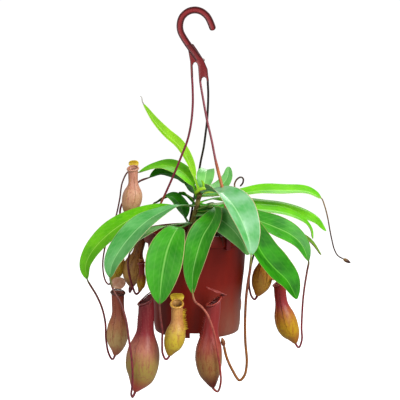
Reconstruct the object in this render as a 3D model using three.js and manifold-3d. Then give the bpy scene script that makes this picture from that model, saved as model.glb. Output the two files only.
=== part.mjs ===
// Hanging pitcher plant: a moulded pot on a three-strand hanger, with soil, a leaning
// stem, its leaves, and the pitchers that hang on tendrils from the leaf tips.
// Millimetres, +Z up. The origin is the underside of the hook's crown, where the part
// hangs on its rail. +X is to the right and +Y away from the viewer.
import * as THREE from 'three';
import { mergeVertices } from 'three/addons/utils/BufferGeometryUtils.js';
import Module from 'manifold-3d';

const wasm = await Module();
wasm.setup();

// Driving dimensions
const gap = 0.3; // clearance between pieces that touch
const rimTop = -282; // height of the pot's rim below the hook
const rimBand = 15; // height of the rim band
const rimRadius = 70;
const wallUnderRim = 65.3;
const footRadius = 56;
const footBottom = -416;
const footHeight = 7;
const plastic = 1.8; // wall thickness of the pot
const soilTop = -294;
const stemRadius = 3.2;
const stemFoot = [-15.5, 0, -307];
const stemTop = [5.5, 0, -229];
const leafThickness = 1.2;
const stalkHalfWidth = 1.7;
const pitcherWall = 1.2;
const tendrilRadius = 1.15;
const strandRadius = 1.55;
const hookWidth = 8.6;
const hookDepth = 6;
const forkDepth = 5;
const finest = 0.02; // edges shorter than this close up where two shapes meet

const plant = new THREE.Group();
const material = (color, roughness) => new THREE.MeshStandardMaterial({ color, roughness, metalness: 0 });
const hangerPlastic = material(0x7a1a20, 0.45);
const potPlastic = material(0x6b1410, 0.5);
const soilMix = material(0x3a2a1e, 1);
const stemBark = material(0x6e6a34, 0.8);
const brightLeaf = material(0x58a81a, 0.45);
const shadedLeaf = material(0x2c6a14, 0.5);
const glossyLeaf = material(0x4f9a46, 0.35);
const tendrilSkin = material(0x7a3028, 0.55);

const vec = ([x, y, z]) => new THREE.Vector3(x, y, z);
const smoothCurve = (points) => new THREE.CatmullRomCurve3(points, false, 'centripetal');

function addPiece(name, geometry, finish) {
  const mesh = new THREE.Mesh(geometry, finish);
  mesh.name = name;
  plant.add(mesh);
}

// Solids for joining and cutting
function toSolid(geometry) {
  const bare = geometry.clone();
  bare.deleteAttribute('normal');
  bare.deleteAttribute('uv');
  const merged = mergeVertices(bare, 1e-3);
  const mesh = new wasm.Mesh({
    numProp: 3,
    vertProperties: new Float32Array(merged.attributes.position.array),
    triVerts: new Uint32Array(merged.index.array),
  });
  return new wasm.Manifold(mesh);
}

function toGeometry(solid) {
  const { vertProperties, triVerts } = solid.simplify(finest).getMesh();
  const geometry = new THREE.BufferGeometry();
  geometry.setAttribute('position', new THREE.BufferAttribute(vertProperties, 3));
  geometry.setIndex(new THREE.BufferAttribute(triVerts, 1));
  geometry.computeVertexNormals();
  return geometry;
}

const join = (...shapes) => toGeometry(shapes.map(toSolid).reduce((whole, next) => whole.add(next)));
const cut = (body, ...tools) => toGeometry(
  tools.map(toSolid).reduce((left, tool) => left.subtract(tool), toSolid(body)),
);

// A closed skin over rings that all have the same number of points
function skin(rings, startPole, endPole) {
  const sides = rings[0].length;
  const points = [...rings.flat(), startPole, endPole];
  const start = points.length - 2;
  const end = points.length - 1;
  const faces = [];
  for (let side = 0; side < sides; side++) {
    const next = (side + 1) % sides;
    faces.push(start, next, side);
    for (let ring = 0; ring < rings.length - 1; ring++) {
      const low = ring * sides;
      const high = low + sides;
      faces.push(low + side, low + next, high + next, low + side, high + next, high + side);
    }
    const last = (rings.length - 1) * sides;
    faces.push(last + side, last + next, end);
  }
  const geometry = new THREE.BufferGeometry().setFromPoints(points);
  geometry.setIndex(faces);
  geometry.computeVertexNormals();
  return geometry;
}

const polygon = (radius, sides) => new THREE.Shape(
  Array.from({ length: sides }, (_, i) => {
    const angle = (i / sides) * 2 * Math.PI;
    return new THREE.Vector2(radius * Math.cos(angle), radius * Math.sin(angle));
  }),
);

const tube = (curve, radius, sides, steps) => new THREE.ExtrudeGeometry(
  polygon(radius, sides),
  { extrudePath: curve, steps, bevelEnabled: false },
);

// Hook: a ribbed rod bent round the rail, running into a plate that forks in three
const hookLine = [
  [21.5, 0, -22], [18, 0, -12.5], [13.5, 0, -4], [6.5, 0, 2], [-1.5, 0, 4.3], [-11, 0, 2.5],
  [-19, 0, -4.5], [-22, 0, -14], [-21, 0, -23.5], [-16, 0, -33], [-9.5, 0, -42.5],
];
const forkOutline = [
  [-13, -41], [-11.6, -46], [-8.8, -62], [-8, -81], [-4.8, -81], [-5.4, -67], [-4, -63.5],
  [-2, -62.5], [0, -64], [1.4, -68], [2.8, -87], [5.9, -87], [6.6, -83.5], [9.3, -81.6],
  [12, -83.5], [12.6, -87], [15.7, -87], [14.8, -80.7], [13.9, -71.5], [9.3, -61], [6.5, -56],
  [0, -46], [-5, -39],
];

function hook() {
  const across = hookWidth / 2;
  const deep = hookDepth / 2;
  const flange = 1.6;
  const web = 1.7;
  const ribbed = new THREE.Shape([
    [-deep, -across], [deep, -across], [deep, -across + flange], [web, -across + flange + 0.8],
    [web, across - flange - 0.8], [deep, across - flange], [deep, across], [-deep, across],
    [-deep, across - flange], [-web, across - flange - 0.8], [-web, -across + flange + 0.8],
    [-deep, -across + flange],
  ].map(([x, y]) => new THREE.Vector2(x, y)));
  const rod = new THREE.ExtrudeGeometry(ribbed, {
    extrudePath: smoothCurve(hookLine.map(vec)), steps: 24, bevelEnabled: false,
  });
  const fork = new THREE.ExtrudeGeometry(
    new THREE.Shape(forkOutline.map(([x, z]) => new THREE.Vector2(x, z))),
    { depth: forkDepth, bevelEnabled: false },
  );
  fork.rotateX(Math.PI / 2);
  fork.translate(0, forkDepth / 2, 0);
  return join(rod, fork);
}

// Strand: a round cord of plastic from the fork to a clip that grips under the rim band
const strands = {
  strand_left: {
    rimAngle: 155,
    line: [[-6.4, 0, -81.6], [-5.6, 2, -97], [-5.5, 4, -118], [-8, 6, -144], [-13, 9, -166],
      [-20, 12, -184], [-28, 15, -204], [-43, 21, -238], [-56, 27, -265]],
  },
  strand_front: {
    rimAngle: -56,
    line: [[4.35, 0, -87.8], [8, -5, -110], [13, -14, -137], [19, -23, -163], [23.5, -30, -186],
      [28, -30, -205], [33.5, -33, -227], [38, -43, -253]],
  },
  strand_back: {
    rimAngle: 98,
    line: [[14.1, 0, -87.8], [14.8, 6, -105], [13.5, 19, -138], [11.5, 26, -156], [9, 33, -175],
      [5, 41, -195], [1, 50, -219], [-5, 62, -252]],
  },
};

function strand({ rimAngle, line }) {
  const turn = THREE.MathUtils.degToRad(rimAngle);
  const clipThickness = 2.4;
  const clipWidth = 7;
  const inner = rimRadius + gap;
  const outer = inner + clipThickness;
  const ledge = rimTop - rimBand;
  const barbTip = wallUnderRim + 0.6;
  const profile = new THREE.Shape([
    [inner, rimTop + 2], [outer, rimTop + 2], [outer, ledge - 3.6], [barbTip, ledge - 2.4],
    [barbTip, ledge - gap], [inner, ledge - gap],
  ].map(([x, y]) => new THREE.Vector2(x, y)));
  const clip = new THREE.ExtrudeGeometry(profile, { depth: clipWidth, bevelEnabled: false });
  clip.translate(0, 0, -clipWidth / 2);
  clip.rotateX(Math.PI / 2);
  clip.rotateZ(turn);
  const top = inner + clipThickness / 2 + 0.3;
  const seat = [top * Math.cos(turn), top * Math.sin(turn), rimTop + 1];
  const cord = tube(smoothCurve([...line, seat].map(vec)), strandRadius, 7, 16);
  return join(cord, clip);
}

// Pot: turned shell with a rim band, a skirt foot with drain notches and a holed floor
function pot() {
  const floorUnder = footBottom + footHeight;
  const floorTop = floorUnder + 2.4;
  const outline = [
    [0, floorUnder], [52, floorUnder], [52.5, footBottom], [footRadius, footBottom],
    [footRadius + 1.2, -409], [57.7, -401], [58.4, -376], [60.5, -355], [62.7, -335],
    [wallUnderRim, rimTop - rimBand], [rimRadius - 0.6, rimTop - rimBand],
    [rimRadius, rimTop - rimBand + 1.5], [rimRadius, rimTop - 1.2], [rimRadius - 1, rimTop],
    [rimRadius - 3.4, rimTop], [wallUnderRim - plastic, -291], [62.7 - plastic, -335],
    [58.4 - plastic, -376], [57.5 - plastic, -401], [54, floorTop], [0, floorTop],
  ].map(([r, z]) => new THREE.Vector2(r, z));
  const shell = new THREE.LatheGeometry(outline, 36);
  shell.rotateX(Math.PI / 2);
  const tools = [];
  const notches = 4;
  const firstNotch = -93;
  for (let i = 0; i < notches; i++) {
    const angle = THREE.MathUtils.degToRad(firstNotch + (i * 360) / notches);
    const notch = new THREE.BoxGeometry(14, 12.4, footHeight + 2);
    notch.translate(54.5, 0, footBottom + footHeight / 2 - 1.2);
    notch.rotateZ(angle);
    tools.push(notch);
    const drain = new THREE.CylinderGeometry(4.5, 4.5, 12, 10);
    drain.rotateX(Math.PI / 2);
    drain.translate(30, 0, floorUnder);
    drain.rotateZ(angle + Math.PI / notches);
    tools.push(drain);
  }
  return cut(shell, ...tools);
}

// Soil: fills the pot to below the rim, heaped a little, with the stem's hole
function soil() {
  const bottom = footBottom + footHeight + 2.4 + gap;
  const outline = [
    [0, bottom], [53.4, bottom], [57.5 - plastic - gap, -401], [58.4 - plastic - gap, -376],
    [62.7 - plastic - gap, -335], [62.9, soilTop - 1.5], [52, soilTop], [26, soilTop + 1.6],
    [0, soilTop + 2.6],
  ].map(([r, z]) => new THREE.Vector2(r, z));
  const fill = new THREE.LatheGeometry(outline, 28);
  fill.rotateX(Math.PI / 2);
  const below = vec(stemFoot).add(vec(stemFoot).sub(vec(stemTop)).setLength(gap));
  const socket = tube(new THREE.LineCurve3(below, vec(stemTop)), stemRadius + gap, 8, 1);
  return cut(fill, socket);
}

const stemLine = new THREE.LineCurve3(vec(stemFoot), vec(stemTop));
const stem = () => tube(stemLine, stemRadius, 8, 3);

// The point just off the stem's skin at one height, on the side that an angle names
function onStem(height, degrees) {
  const t = (height - stemFoot[2]) / (stemTop[2] - stemFoot[2]);
  const turn = THREE.MathUtils.degToRad(degrees);
  const out = stemRadius + 0.9;
  return stemLine.getPoint(t).add(new THREE.Vector3(out * Math.cos(turn), out * Math.sin(turn), 0));
}

// Leaf: a stalk that widens into a blade folded along its rib. `face` gives the side
// that the upper surface looks to, near the stem and at the tip.
const bladeStations = [0, 0.08, 0.18, 0.32, 0.48, 0.64, 0.79, 0.91];
const lidStations = [0, 0.35, 0.65, 0.88];

function leafBlade({ rib, width, face, fold = 12, stalk = 0.16, stations = bladeStations }) {
  const curve = smoothCurve(rib);
  const lift = Math.tan(THREE.MathUtils.degToRad(fold));
  const rings = stations.map((t) => {
    const u = Math.max(0, (t - stalk) / (1 - stalk));
    const blade = Math.pow(Math.sin(Math.PI * Math.pow(u, 0.82)), 0.8);
    const half = stalkHalfWidth + (width / 2 - stalkHalfWidth) * (u > 0 ? blade : 0);
    const along = curve.getTangentAt(t);
    const up = vec(face[0]).lerp(vec(face[1]), t);
    up.addScaledVector(along, -up.dot(along)).normalize();
    const across = new THREE.Vector3().crossVectors(along, up);
    const middle = curve.getPointAt(t);
    const at = (side, rise) => middle.clone().addScaledVector(across, side).addScaledVector(up, rise);
    const top = leafThickness / 2;
    const under = leafThickness * 0.9;
    const quarter = half * 0.4 * lift;
    return [
      at(-half, half * lift), at(-half * 0.5, quarter + top), at(0, top),
      at(half * 0.5, quarter + top), at(half, half * lift),
      at(half * 0.5, quarter - top), at(0, -under), at(-half * 0.5, quarter - top),
    ];
  });
  return skin(rings, curve.getPointAt(0), curve.getPointAt(1));
}

const leaves = {
  leaf_upper_left: {
    node: [-233, 130], rib: [[-4, 16, -213], [-12, 26, -193], [-25, 31, -173], [-42, 34, -158],
      [-58, 37, -140], [-72, 39, -118]],
    width: 16, face: [[0.6, -0.4, 0.7], [0.6, -0.5, 0.6]], fold: 42, finish: brightLeaf,
  },
  leaf_left_arching: {
    node: [-238, 138], rib: [[-8, 17, -220], [-22, 29, -207], [-39, 37, -201], [-60, 41, -203],
      [-79, 42, -210]],
    width: 27, face: [[-0.1, -0.2, 0.95], [-0.3, -0.25, 0.9]], finish: brightLeaf,
  },
  leaf_left_behind: {
    node: [-243, 118], rib: [[-6, 28, -231], [-14, 42, -221], [-29, 48.5, -213], [-51, 54, -211],
      [-65, 56, -218]],
    width: 29.2, face: [[-0.2, 0.25, 0.95], [-0.3, 0.3, 0.9]], finish: shadedLeaf,
  },
  leaf_shaded_left: {
    node: [-248, 178], rib: [[-8, 5, -243], [-14, 11, -238], [-24, 20, -236]],
    width: 20, face: [[0, 0.5, 0.85], [0, 0.4, 0.9]], stalk: 0.05, finish: shadedLeaf,
  },
  leaf_back_left: {
    node: [-277, 140], rib: [[-17, 12, -265], [-25, 29, -250], [-36, 37, -242], [-59, 48, -253]],
    width: 28, face: [[0.6, -0.2, 0.7], [-0.3, -0.1, 0.95]], finish: shadedLeaf,
  },
  leaf_left_far: {
    node: [-251, 162], rib: [[-28, 11, -252], [-52, 12, -256], [-76, 10, -264], [-101, 7, -277],
      [-123, 4, -294], [-140, 2, -313], [-148, 0, -331], [-146, -2, -349]],
    width: 31, face: [[-0.2, -0.5, 0.85], [-0.6, -0.75, 0.3]], finish: brightLeaf,
  },
  leaf_left_near: {
    node: [-250, -150], rib: [[-24, -20, -248], [-44, -37, -254], [-62, -52, -263], [-79, -64, -277],
      [-95, -72, -296], [-106, -77, -315], [-109, -79, -332]],
    width: 36, face: [[-0.2, -0.3, 0.9], [-0.45, -0.75, 0.4]], finish: glossyLeaf,
  },
  leaf_left_low: {
    node: [-273, -160], rib: [[-32, -24, -273], [-50, -44, -275], [-66, -54, -281], [-79, -50, -293],
      [-86, -46, -306]],
    width: 28, face: [[-0.1, -0.4, 0.9], [-0.6, -0.4, 0.7]], finish: glossyLeaf,
  },
  leaf_front_left: {
    node: [-273, -110], rib: [[-17, -36, -273], [-26, -66, -274], [-36, -84, -294], [-41, -92, -315],
      [-44, -97, -335], [-46, -100, -361]],
    width: 44, face: [[0, -0.2, 1], [-0.1, -1, 0.15]], finish: brightLeaf,
  },
  leaf_front: {
    node: [-256, -55], rib: [[18, -28, -247], [24, -50, -251], [18, -70, -264], [8, -81, -279],
      [0, -89, -302], [-5, -92, -326], [-5, -94, -349]],
    width: 34, face: [[-0.2, -0.3, 0.9], [-0.3, -0.95, 0.1]], finish: glossyLeaf,
  },
  leaf_front_right: {
    node: [-233, -80], rib: [[16, -28, -227], [31, -53, -229], [46, -73, -243], [58, -87, -265],
      [65, -95, -287], [67, -97, -301]],
    width: 44, face: [[0.3, -0.3, 0.9], [0.5, -0.8, 0.35]], stalk: 0.2, finish: glossyLeaf,
  },
  leaf_low_right: {
    node: [-263, -45], rib: [[21, -42, -259], [35, -67, -264], [48, -76, -275], [58, -80, -289],
      [64, -82, -303]],
    width: 34, face: [[0.1, -0.6, 0.8], [0, -0.9, 0.45]], finish: glossyLeaf,
  },
  leaf_right_drooping: {
    node: [-259, -15], rib: [[40, -12, -256], [63, -27, -271], [75, -36, -292], [86, -42, -311],
      [100, -46, -327], [116, -50, -342], [128, -54, -365]],
    width: 42, face: [[0.1, -0.15, 0.95], [0.45, -0.85, 0.3]], finish: shadedLeaf,
  },
  leaf_right_mid: {
    node: [-249, 8], rib: [[50, 8, -256], [81, 6, -271], [104, 4, -280], [125, 2, -290],
      [139, -1, -303], [148, -4, -324]],
    width: 36, face: [[0, -0.45, 0.9], [0.4, -0.7, 0.55]], finish: glossyLeaf,
  },
  leaf_right_long: {
    node: [-238, 40], rib: [[34, 20, -238], [58, 26, -237], [85, 31, -234], [119, 36, -234],
      [150, 38, -236], [169, 40, -245]],
    width: 28, face: [[0, -0.32, 0.94], [0.3, -0.35, 0.87]], finish: brightLeaf,
  },
  leaf_right_back: {
    node: [-246, 68], rib: [[28, 38, -244], [58, 48, -246], [89, 54, -250], [119, 57, -254],
      [147, 59, -263], [168, 60, -275], [179, 60, -293]],
    width: 26, face: [[0, -0.3, 0.95], [0.5, -0.35, 0.75]], finish: brightLeaf,
  },
  leaf_right_inner: {
    node: [-253, 22], rib: [[34, 20, -254], [58, 25, -257], [96, 29, -260], [126, 33, -266],
      [146, 36, -276], [155, 38, -287], [158, 39, -301]],
    width: 24, face: [[0, -0.3, 0.95], [0.5, -0.35, 0.75]], finish: brightLeaf,
  },
  leaf_back_right: {
    node: [-254, 58], rib: [[34, 40, -257], [56, 60, -260], [80, 70, -267], [91, 76, -280]],
    width: 24, face: [[0, -0.2, 0.95], [0.5, -0.2, 0.8]], finish: brightLeaf,
  },
  leaf_right_olive: {
    node: [-264, 15], rib: [[34, 16, -265], [64, 22, -272], [98, 25, -281], [132, 27, -291],
      [154, 29, -303], [169, 31, -322]],
    width: 20, face: [[0, -0.3, 0.95], [0.5, -0.3, 0.8]], finish: shadedLeaf,
  },
  leaf_centre_pale: {
    node: [-233, 60], rib: [[10, 16, -221], [12, 27, -210], [14, 40, -206], [15, 54, -210]],
    width: 24, face: [[0, -0.9, 0.3], [0, -0.1, 1]], stalk: 0.05, finish: glossyLeaf,
  },
  leaf_upright: {
    node: [-240, 95], rib: [[14, 26, -237], [32, 35, -228], [41, 38, -216], [43, 40, -202]],
    width: 16, face: [[-0.3, -0.8, 0.4], [0, -1, 0.1]], finish: shadedLeaf,
  },
  leaf_young: {
    node: [-234, 5], rib: [[22, 6, -232], [34, 10, -230], [46, 13, -232]],
    width: 9, face: [[0, -0.4, 0.9], [0, -0.4, 0.9]], finish: brightLeaf,
  },
  leaf_far_left: {
    node: [-259, 100], rib: [[6, 26, -254], [14, 46, -254], [11, 72, -268], [0, 92, -295],
      [-16, 100, -327], [-24, 102, -349]],
    width: 28, face: [[0, 0.2, 0.95], [-0.1, 0.95, 0.2]], finish: brightLeaf,
  },
  leaf_far_middle: {
    node: [-267, 78], rib: [[14, 24, -267], [30, 45, -268], [42, 68, -273], [44, 90, -301],
      [36, 101, -335], [30, 104, -355]],
    width: 28, face: [[0.1, 0.2, 0.95], [0.1, 0.95, 0.2]], finish: brightLeaf,
  },
  leaf_far_right: {
    node: [-273, 40], rib: [[14, 15, -273], [44, 38, -273], [68, 56, -281], [82, 68, -307],
      [86, 72, -337]],
    width: 30, face: [[0.2, 0.2, 0.95], [0.7, 0.6, 0.2]], finish: shadedLeaf,
  },
};

for (const [name, leaf] of Object.entries(leaves)) {
  leaf.rib = [onStem(...leaf.node), ...leaf.rib.map(vec)];
  addPiece(name, leafBlade(leaf), leaf.finish);
}

// Pitcher: a hollow jug on a bent axis, narrow at the foot, wide at the belly, with a
// rolled lip and a lid on its back edge. `mouthTilt` is the way that the mouth looks.
const pitcherSides = 8;
const outsideStations = [0.03, 0.1, 0.2, 0.34, 0.5, 0.68, 0.86, 1];
const insideStations = [1, 0.86, 0.68, 0.5, 0.34, 0.2];

function girth(t, { belly, neck, mouth }) {
  const stops = [[0, 1.3], [0.1, belly * 0.52], [0.2, belly * 0.84], [0.34, belly], [0.5, belly * 0.92],
    [0.68, neck * 1.06], [0.86, neck], [1, mouth]];
  const above = stops.findIndex(([stop]) => stop >= t);
  if (above === 0) return stops[0][1];
  const [t0, r0] = stops[above - 1];
  const [t1, r1] = stops[above];
  return r0 + ((r1 - r0) * (t - t0)) / (t1 - t0);
}

function pitcher(jug) {
  const axis = smoothCurve(jug.spine.map(vec));
  const look = vec(jug.mouthTilt).normalize();
  const ring = (t, radius, lift = 0) => {
    const tilt = THREE.MathUtils.smoothstep(t, 0.7, 1);
    const along = axis.getTangentAt(t).lerp(look, tilt).normalize();
    const side = new THREE.Vector3().crossVectors(new THREE.Vector3(0, 1, 0), along).normalize();
    const back = new THREE.Vector3().crossVectors(along, side);
    return Array.from({ length: pitcherSides }, (_, i) => {
      const angle = (i / pitcherSides) * 2 * Math.PI;
      return axis.getPointAt(t).addScaledVector(side, radius * Math.cos(angle))
        .addScaledVector(back, radius * Math.sin(angle)).addScaledVector(along, lift);
    });
  };
  const lip = jug.mouth + 1;
  const outside = outsideStations.map((t) => ring(t, t === 1 ? lip : girth(t, jug)));
  const inside = insideStations.map((t) => ring(t, girth(t, jug) - pitcherWall, t === 1 ? 0.9 : 0));
  const body = skin([...outside, ...inside], axis.getPointAt(0), axis.getPointAt(0.17));
  const top = axis.getPointAt(1);
  const lid = leafBlade({
    rib: jug.lid.map((point) => vec(point).add(top)),
    width: jug.lidWidth,
    face: [jug.lidFace, jug.lidFace],
    fold: 0,
    stalk: 0,
    stations: lidStations,
  });
  return join(body, lid);
}

const jugs = {
  pitcher_back_left: {
    spine: [[-96, 28, -266], [-93, 28, -258], [-88, 28, -246], [-86, 28, -230], [-86, 28, -214],
      [-86, 28, -204]],
    belly: 13.6, neck: 6.6, mouth: 7, mouthTilt: [-0.1, -0.3, 1],
    lid: [[0.4, 6.6, 1], [0.6, 8, 5], [0.5, 3, 9], [0.3, -5, 7]], lidWidth: 13.8, lidFace: [0, -0.4, 0.9],
    color: 0xb98a52,
  },
  pitcher_left: {
    spine: [[-111, 5, -455], [-108.5, 5, -446], [-107, 5, -424], [-105.5, 5, -402], [-106, 5, -382],
      [-106, 5, -369]],
    belly: 14, neck: 8.4, mouth: 9.2, mouthTilt: [0.1, -0.35, 1],
    lid: [[0, 9, 2], [0, 11, 8], [0.5, 10, 14], [0.5, 8, 20]], lidWidth: 19, lidFace: [0, -1, 0.3],
    color: 0x9a7244,
  },
  pitcher_left_big: {
    spine: [[-80, -60, -486], [-77.5, -60, -478], [-72, -60, -463], [-70, -60, -447], [-68, -60, -428],
      [-66, -60, -408], [-65, -60, -387], [-64, -60, -367]],
    belly: 20, neck: 10.5, mouth: 11, mouthTilt: [-0.35, -0.3, 1],
    lid: [[8, 7, 3], [13, 9, 9], [15, 7, 15], [14, 2, 21]], lidWidth: 18, lidFace: [-0.6, -0.5, 0.6],
    color: 0x8a5a3c,
  },
  pitcher_yellow: {
    spine: [[-35, -79, -433], [-33, -79, -425], [-28, -79, -410], [-25.5, -79, -394],
      [-25, -79, -379], [-25, -79, -366]],
    belly: 13, neck: 7.2, mouth: 7.4, mouthTilt: [0, -0.45, 1],
    lid: [[0, 7, 2], [0, 9, 5], [0, 9, 9], [0, 7, 12.5]], lidWidth: 18, lidFace: [0, -0.9, 0.4],
    color: 0xb8902c,
  },
  pitcher_front: {
    spine: [[21, -82, -474], [19, -82, -465], [16, -82, -450], [15, -82, -435], [16, -82, -418],
      [17.5, -82, -397], [20, -82, -379], [22, -82, -365]],
    belly: 16.4, neck: 9.6, mouth: 9.4, mouthTilt: [-0.2, -0.3, 1],
    lid: [[8.6, 2, 2.5], [13, 3, 9.5], [9.5, 2, 14], [0, 1, 18], [-10.5, 0, 22]],
    lidWidth: 17, lidFace: [-0.38, 0, 0.92],
    color: 0x7a3a2c,
  },
  pitcher_right_near: {
    spine: [[80, 2, -373], [83, 2, -364], [86.5, 2, -350], [88.5, 2, -333], [90, 2, -317],
      [91, 2, -305]],
    belly: 12, neck: 6.4, mouth: 6.8, mouthTilt: [0.1, 0.2, 1],
    lid: [[0, 6.6, -1], [0, 8, 4], [0, 3, 9], [0, -5, 10]], lidWidth: 13, lidFace: [0, 0.1, 1],
    color: 0xb0762a,
  },
  pitcher_right: {
    spine: [[132, -5, -436], [128.5, -5, -426], [121, -5, -412], [117, -5, -400], [113.5, -5, -386],
      [111, -5, -371], [109.5, -5, -354]],
    belly: 14.6, neck: 8.2, mouth: 8.4, mouthTilt: [-0.4, 0, 1],
    lid: [[4, 6.5, 0], [3, 8, 6], [-4, 0, 9], [-11, -7, 6]], lidWidth: 12, lidFace: [-0.2, -0.2, 1],
    color: 0xa07024,
  },
  pitcher_left_rear: {
    spine: [[-89, 32, -367], [-89, 32, -358], [-87, 32, -343], [-82, 32, -324], [-78, 32, -308],
      [-75, 32, -297]],
    belly: 12.4, neck: 7, mouth: 7.2, mouthTilt: [0.3, 0, 1],
    lid: [[0, 7, 0.5], [0, 9, 5], [0, 4, 9], [0, -4, 10]], lidWidth: 14, lidFace: [0, 0, 1],
    color: 0x9a7434,
  },
  pitcher_left_hidden: {
    spine: [[-117, 35, -359], [-113, 35, -350], [-109, 35, -336], [-105, 35, -321],
      [-101.5, 35, -305]],
    belly: 11, neck: 6, mouth: 6.3, mouthTilt: [0.2, 0, 1],
    lid: [[-0.4, 6, 0.7], [-0.6, 8, 4], [-0.5, 3, 8], [-0.3, -4, 8]], lidWidth: 11.2, lidFace: [0, 0, 1],
    color: 0xa8801c,
  },
  pitcher_small: {
    spine: [[-76, -15, -363], [-74, -15, -355], [-73, -15, -345], [-72.5, -15, -334],
      [-73, -15, -325]],
    belly: 6, neck: 3.6, mouth: 4, mouthTilt: [-0.2, 0, 1],
    lid: [[0, 3.8, 0.5], [0, 5, 3], [0, 2, 5], [0, -3, 5]], lidWidth: 8, lidFace: [0, 0, 1],
    color: 0xb06a34,
  },
  pitcher_far_left: {
    spine: [[-28, 98, -441], [-24, 98, -433], [-19, 98, -417], [-17, 98, -399], [-16, 98, -383],
      [-16, 98, -369]],
    belly: 13.6, neck: 7.6, mouth: 8, mouthTilt: [0, 0.3, 1],
    lid: [[0, -7.6, 0.5], [0, -9, 5], [0, -5, 9], [0, 3, 11]], lidWidth: 16, lidFace: [0, 0, 1],
    color: 0x9a6a3c,
  },
  pitcher_far_right: {
    spine: [[41, 97, -433], [45, 96, -424], [50, 94, -408], [53, 93, -391], [54, 92, -375],
      [54, 92, -363]],
    belly: 12.6, neck: 7, mouth: 7.4, mouthTilt: [0, 0.3, 1],
    lid: [[0, -7, 0.5], [0, -9, 5], [0, -5, 9], [0, 3, 11]], lidWidth: 15, lidFace: [0, 0, 1],
    color: 0x8a4a30,
  },
};

for (const [name, jug] of Object.entries(jugs)) addPiece(name, pitcher(jug), material(jug.color, 0.45));

// Tendril: a thin round stem from a leaf's tip to the foot of its pitcher, or to a bud
const tendrils = {
  tendril_back_left: { from: 'leaf_left_behind', to: 'pitcher_back_left',
    route: [[-80, 54, -224], [-93, 48, -239], [-103, 38, -255], [-104, 31, -267], [-101, 28.5, -271]] },
  tendril_left_hidden: { from: 'leaf_left_arching', to: 'pitcher_left_hidden',
    route: [[-93, 49, -209], [-102, 51, -224], [-106, 49, -248], [-112, 47, -274], [-124, 42, -305],
      [-129, 38, -337], [-125, 36, -359], [-120.5, 35, -363]] },
  tendril_left: { from: 'leaf_left_far', to: 'pitcher_left',
    route: [[-141, -3, -358], [-134, -3, -370], [-127, 0, -388], [-123, 3, -409], [-122.5, 5, -432],
      [-119, 5, -452], [-114, 5, -460]] },
  tendril_left_big: { from: 'leaf_left_near', to: 'pitcher_left_big',
    route: [[-104, -80, -349], [-96, -82, -363], [-89, -84, -384], [-85, -85, -412], [-82, -86, -434],
      [-81, -86, -452], [-82, -80, -471], [-84, -69, -486], [-82.5, -62.5, -491]] },
  tendril_yellow: { from: 'leaf_front_left', to: 'pitcher_yellow',
    route: [[-45, -99, -378], [-43, -95, -396], [-43.5, -88, -413], [-43, -82, -429],
      [-39, -79.5, -437]] },
  tendril_front: { from: 'leaf_front', to: 'pitcher_front',
    route: [[-2, -96, -359], [5, -99, -364], [12, -102, -372], [17, -103, -383], [22, -103, -399],
      [26, -102, -422], [29, -99, -443], [30, -93, -463], [26, -85, -477]] },
  tendril_left_rear: { from: 'leaf_back_left', to: 'pitcher_left_rear',
    route: [[-65, 50, -271], [-71, 52, -297], [-78, 53, -327], [-87, 51, -353],
      [-93, 45, -370], [-92, 36, -374]] },
  tendril_small: { from: 'leaf_left_low', to: 'pitcher_small',
    route: [[-89, -40, -319], [-88, -30, -337], [-85, -22, -353], [-80, -16.5, -366]] },
  tendril_right_near: { from: 'leaf_back_right', to: 'pitcher_right_near',
    route: [[92, 68, -291], [85, 46, -303], [77, 24, -319], [71, 8, -339], [69.5, 2, -357],
      [73, 2, -373], [77, 2, -377]] },
  tendril_right: { from: 'leaf_right_mid', to: 'pitcher_right',
    route: [[146, -4, -338], [143, -5, -357], [141, -5, -376], [140, -5, -395], [139.5, -5, -414],
      [140, -5, -431], [136, -5, -441]] },
  tendril_far_left: { from: 'leaf_far_left', to: 'pitcher_far_left',
    route: [[-30, 106, -372], [-39, 107, -402], [-41, 104, -429], [-34, 99, -445]] },
  tendril_far_right: { from: 'leaf_far_middle', to: 'pitcher_far_right',
    route: [[25, 108, -379], [24, 108, -407], [28, 104, -429], [36, 99, -439]] },
  tendril_front_bud: { from: 'leaf_front_right', bud: [2.9, 12],
    route: [[66, -94, -319], [63.5, -93, -335], [61.5, -90, -355], [60.5, -86, -384], [61, -84, -412],
      [63, -83, -441], [60, -83, -457], [54, -83, -463], [45, -83, -450], [37.5, -83, -433],
      [34, -83, -418]] },
  tendril_right_bud: { from: 'leaf_right_long', bud: [2.6, 12],
    route: [[175, 40, -257], [180, 40, -272], [183.5, 40, -288], [187, 40, -302], [191, 40, -315],
      [197, 40, -324], [207, 40, -329]] },
  tendril_curl: { from: 'leaf_young',
    route: [[50, 13, -229], [50, 13, -223], [53, 13.5, -217], [58, 14, -214], [61.5, 15, -216],
      [61, 16, -222], [57, 16.5, -227]] },
};

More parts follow.
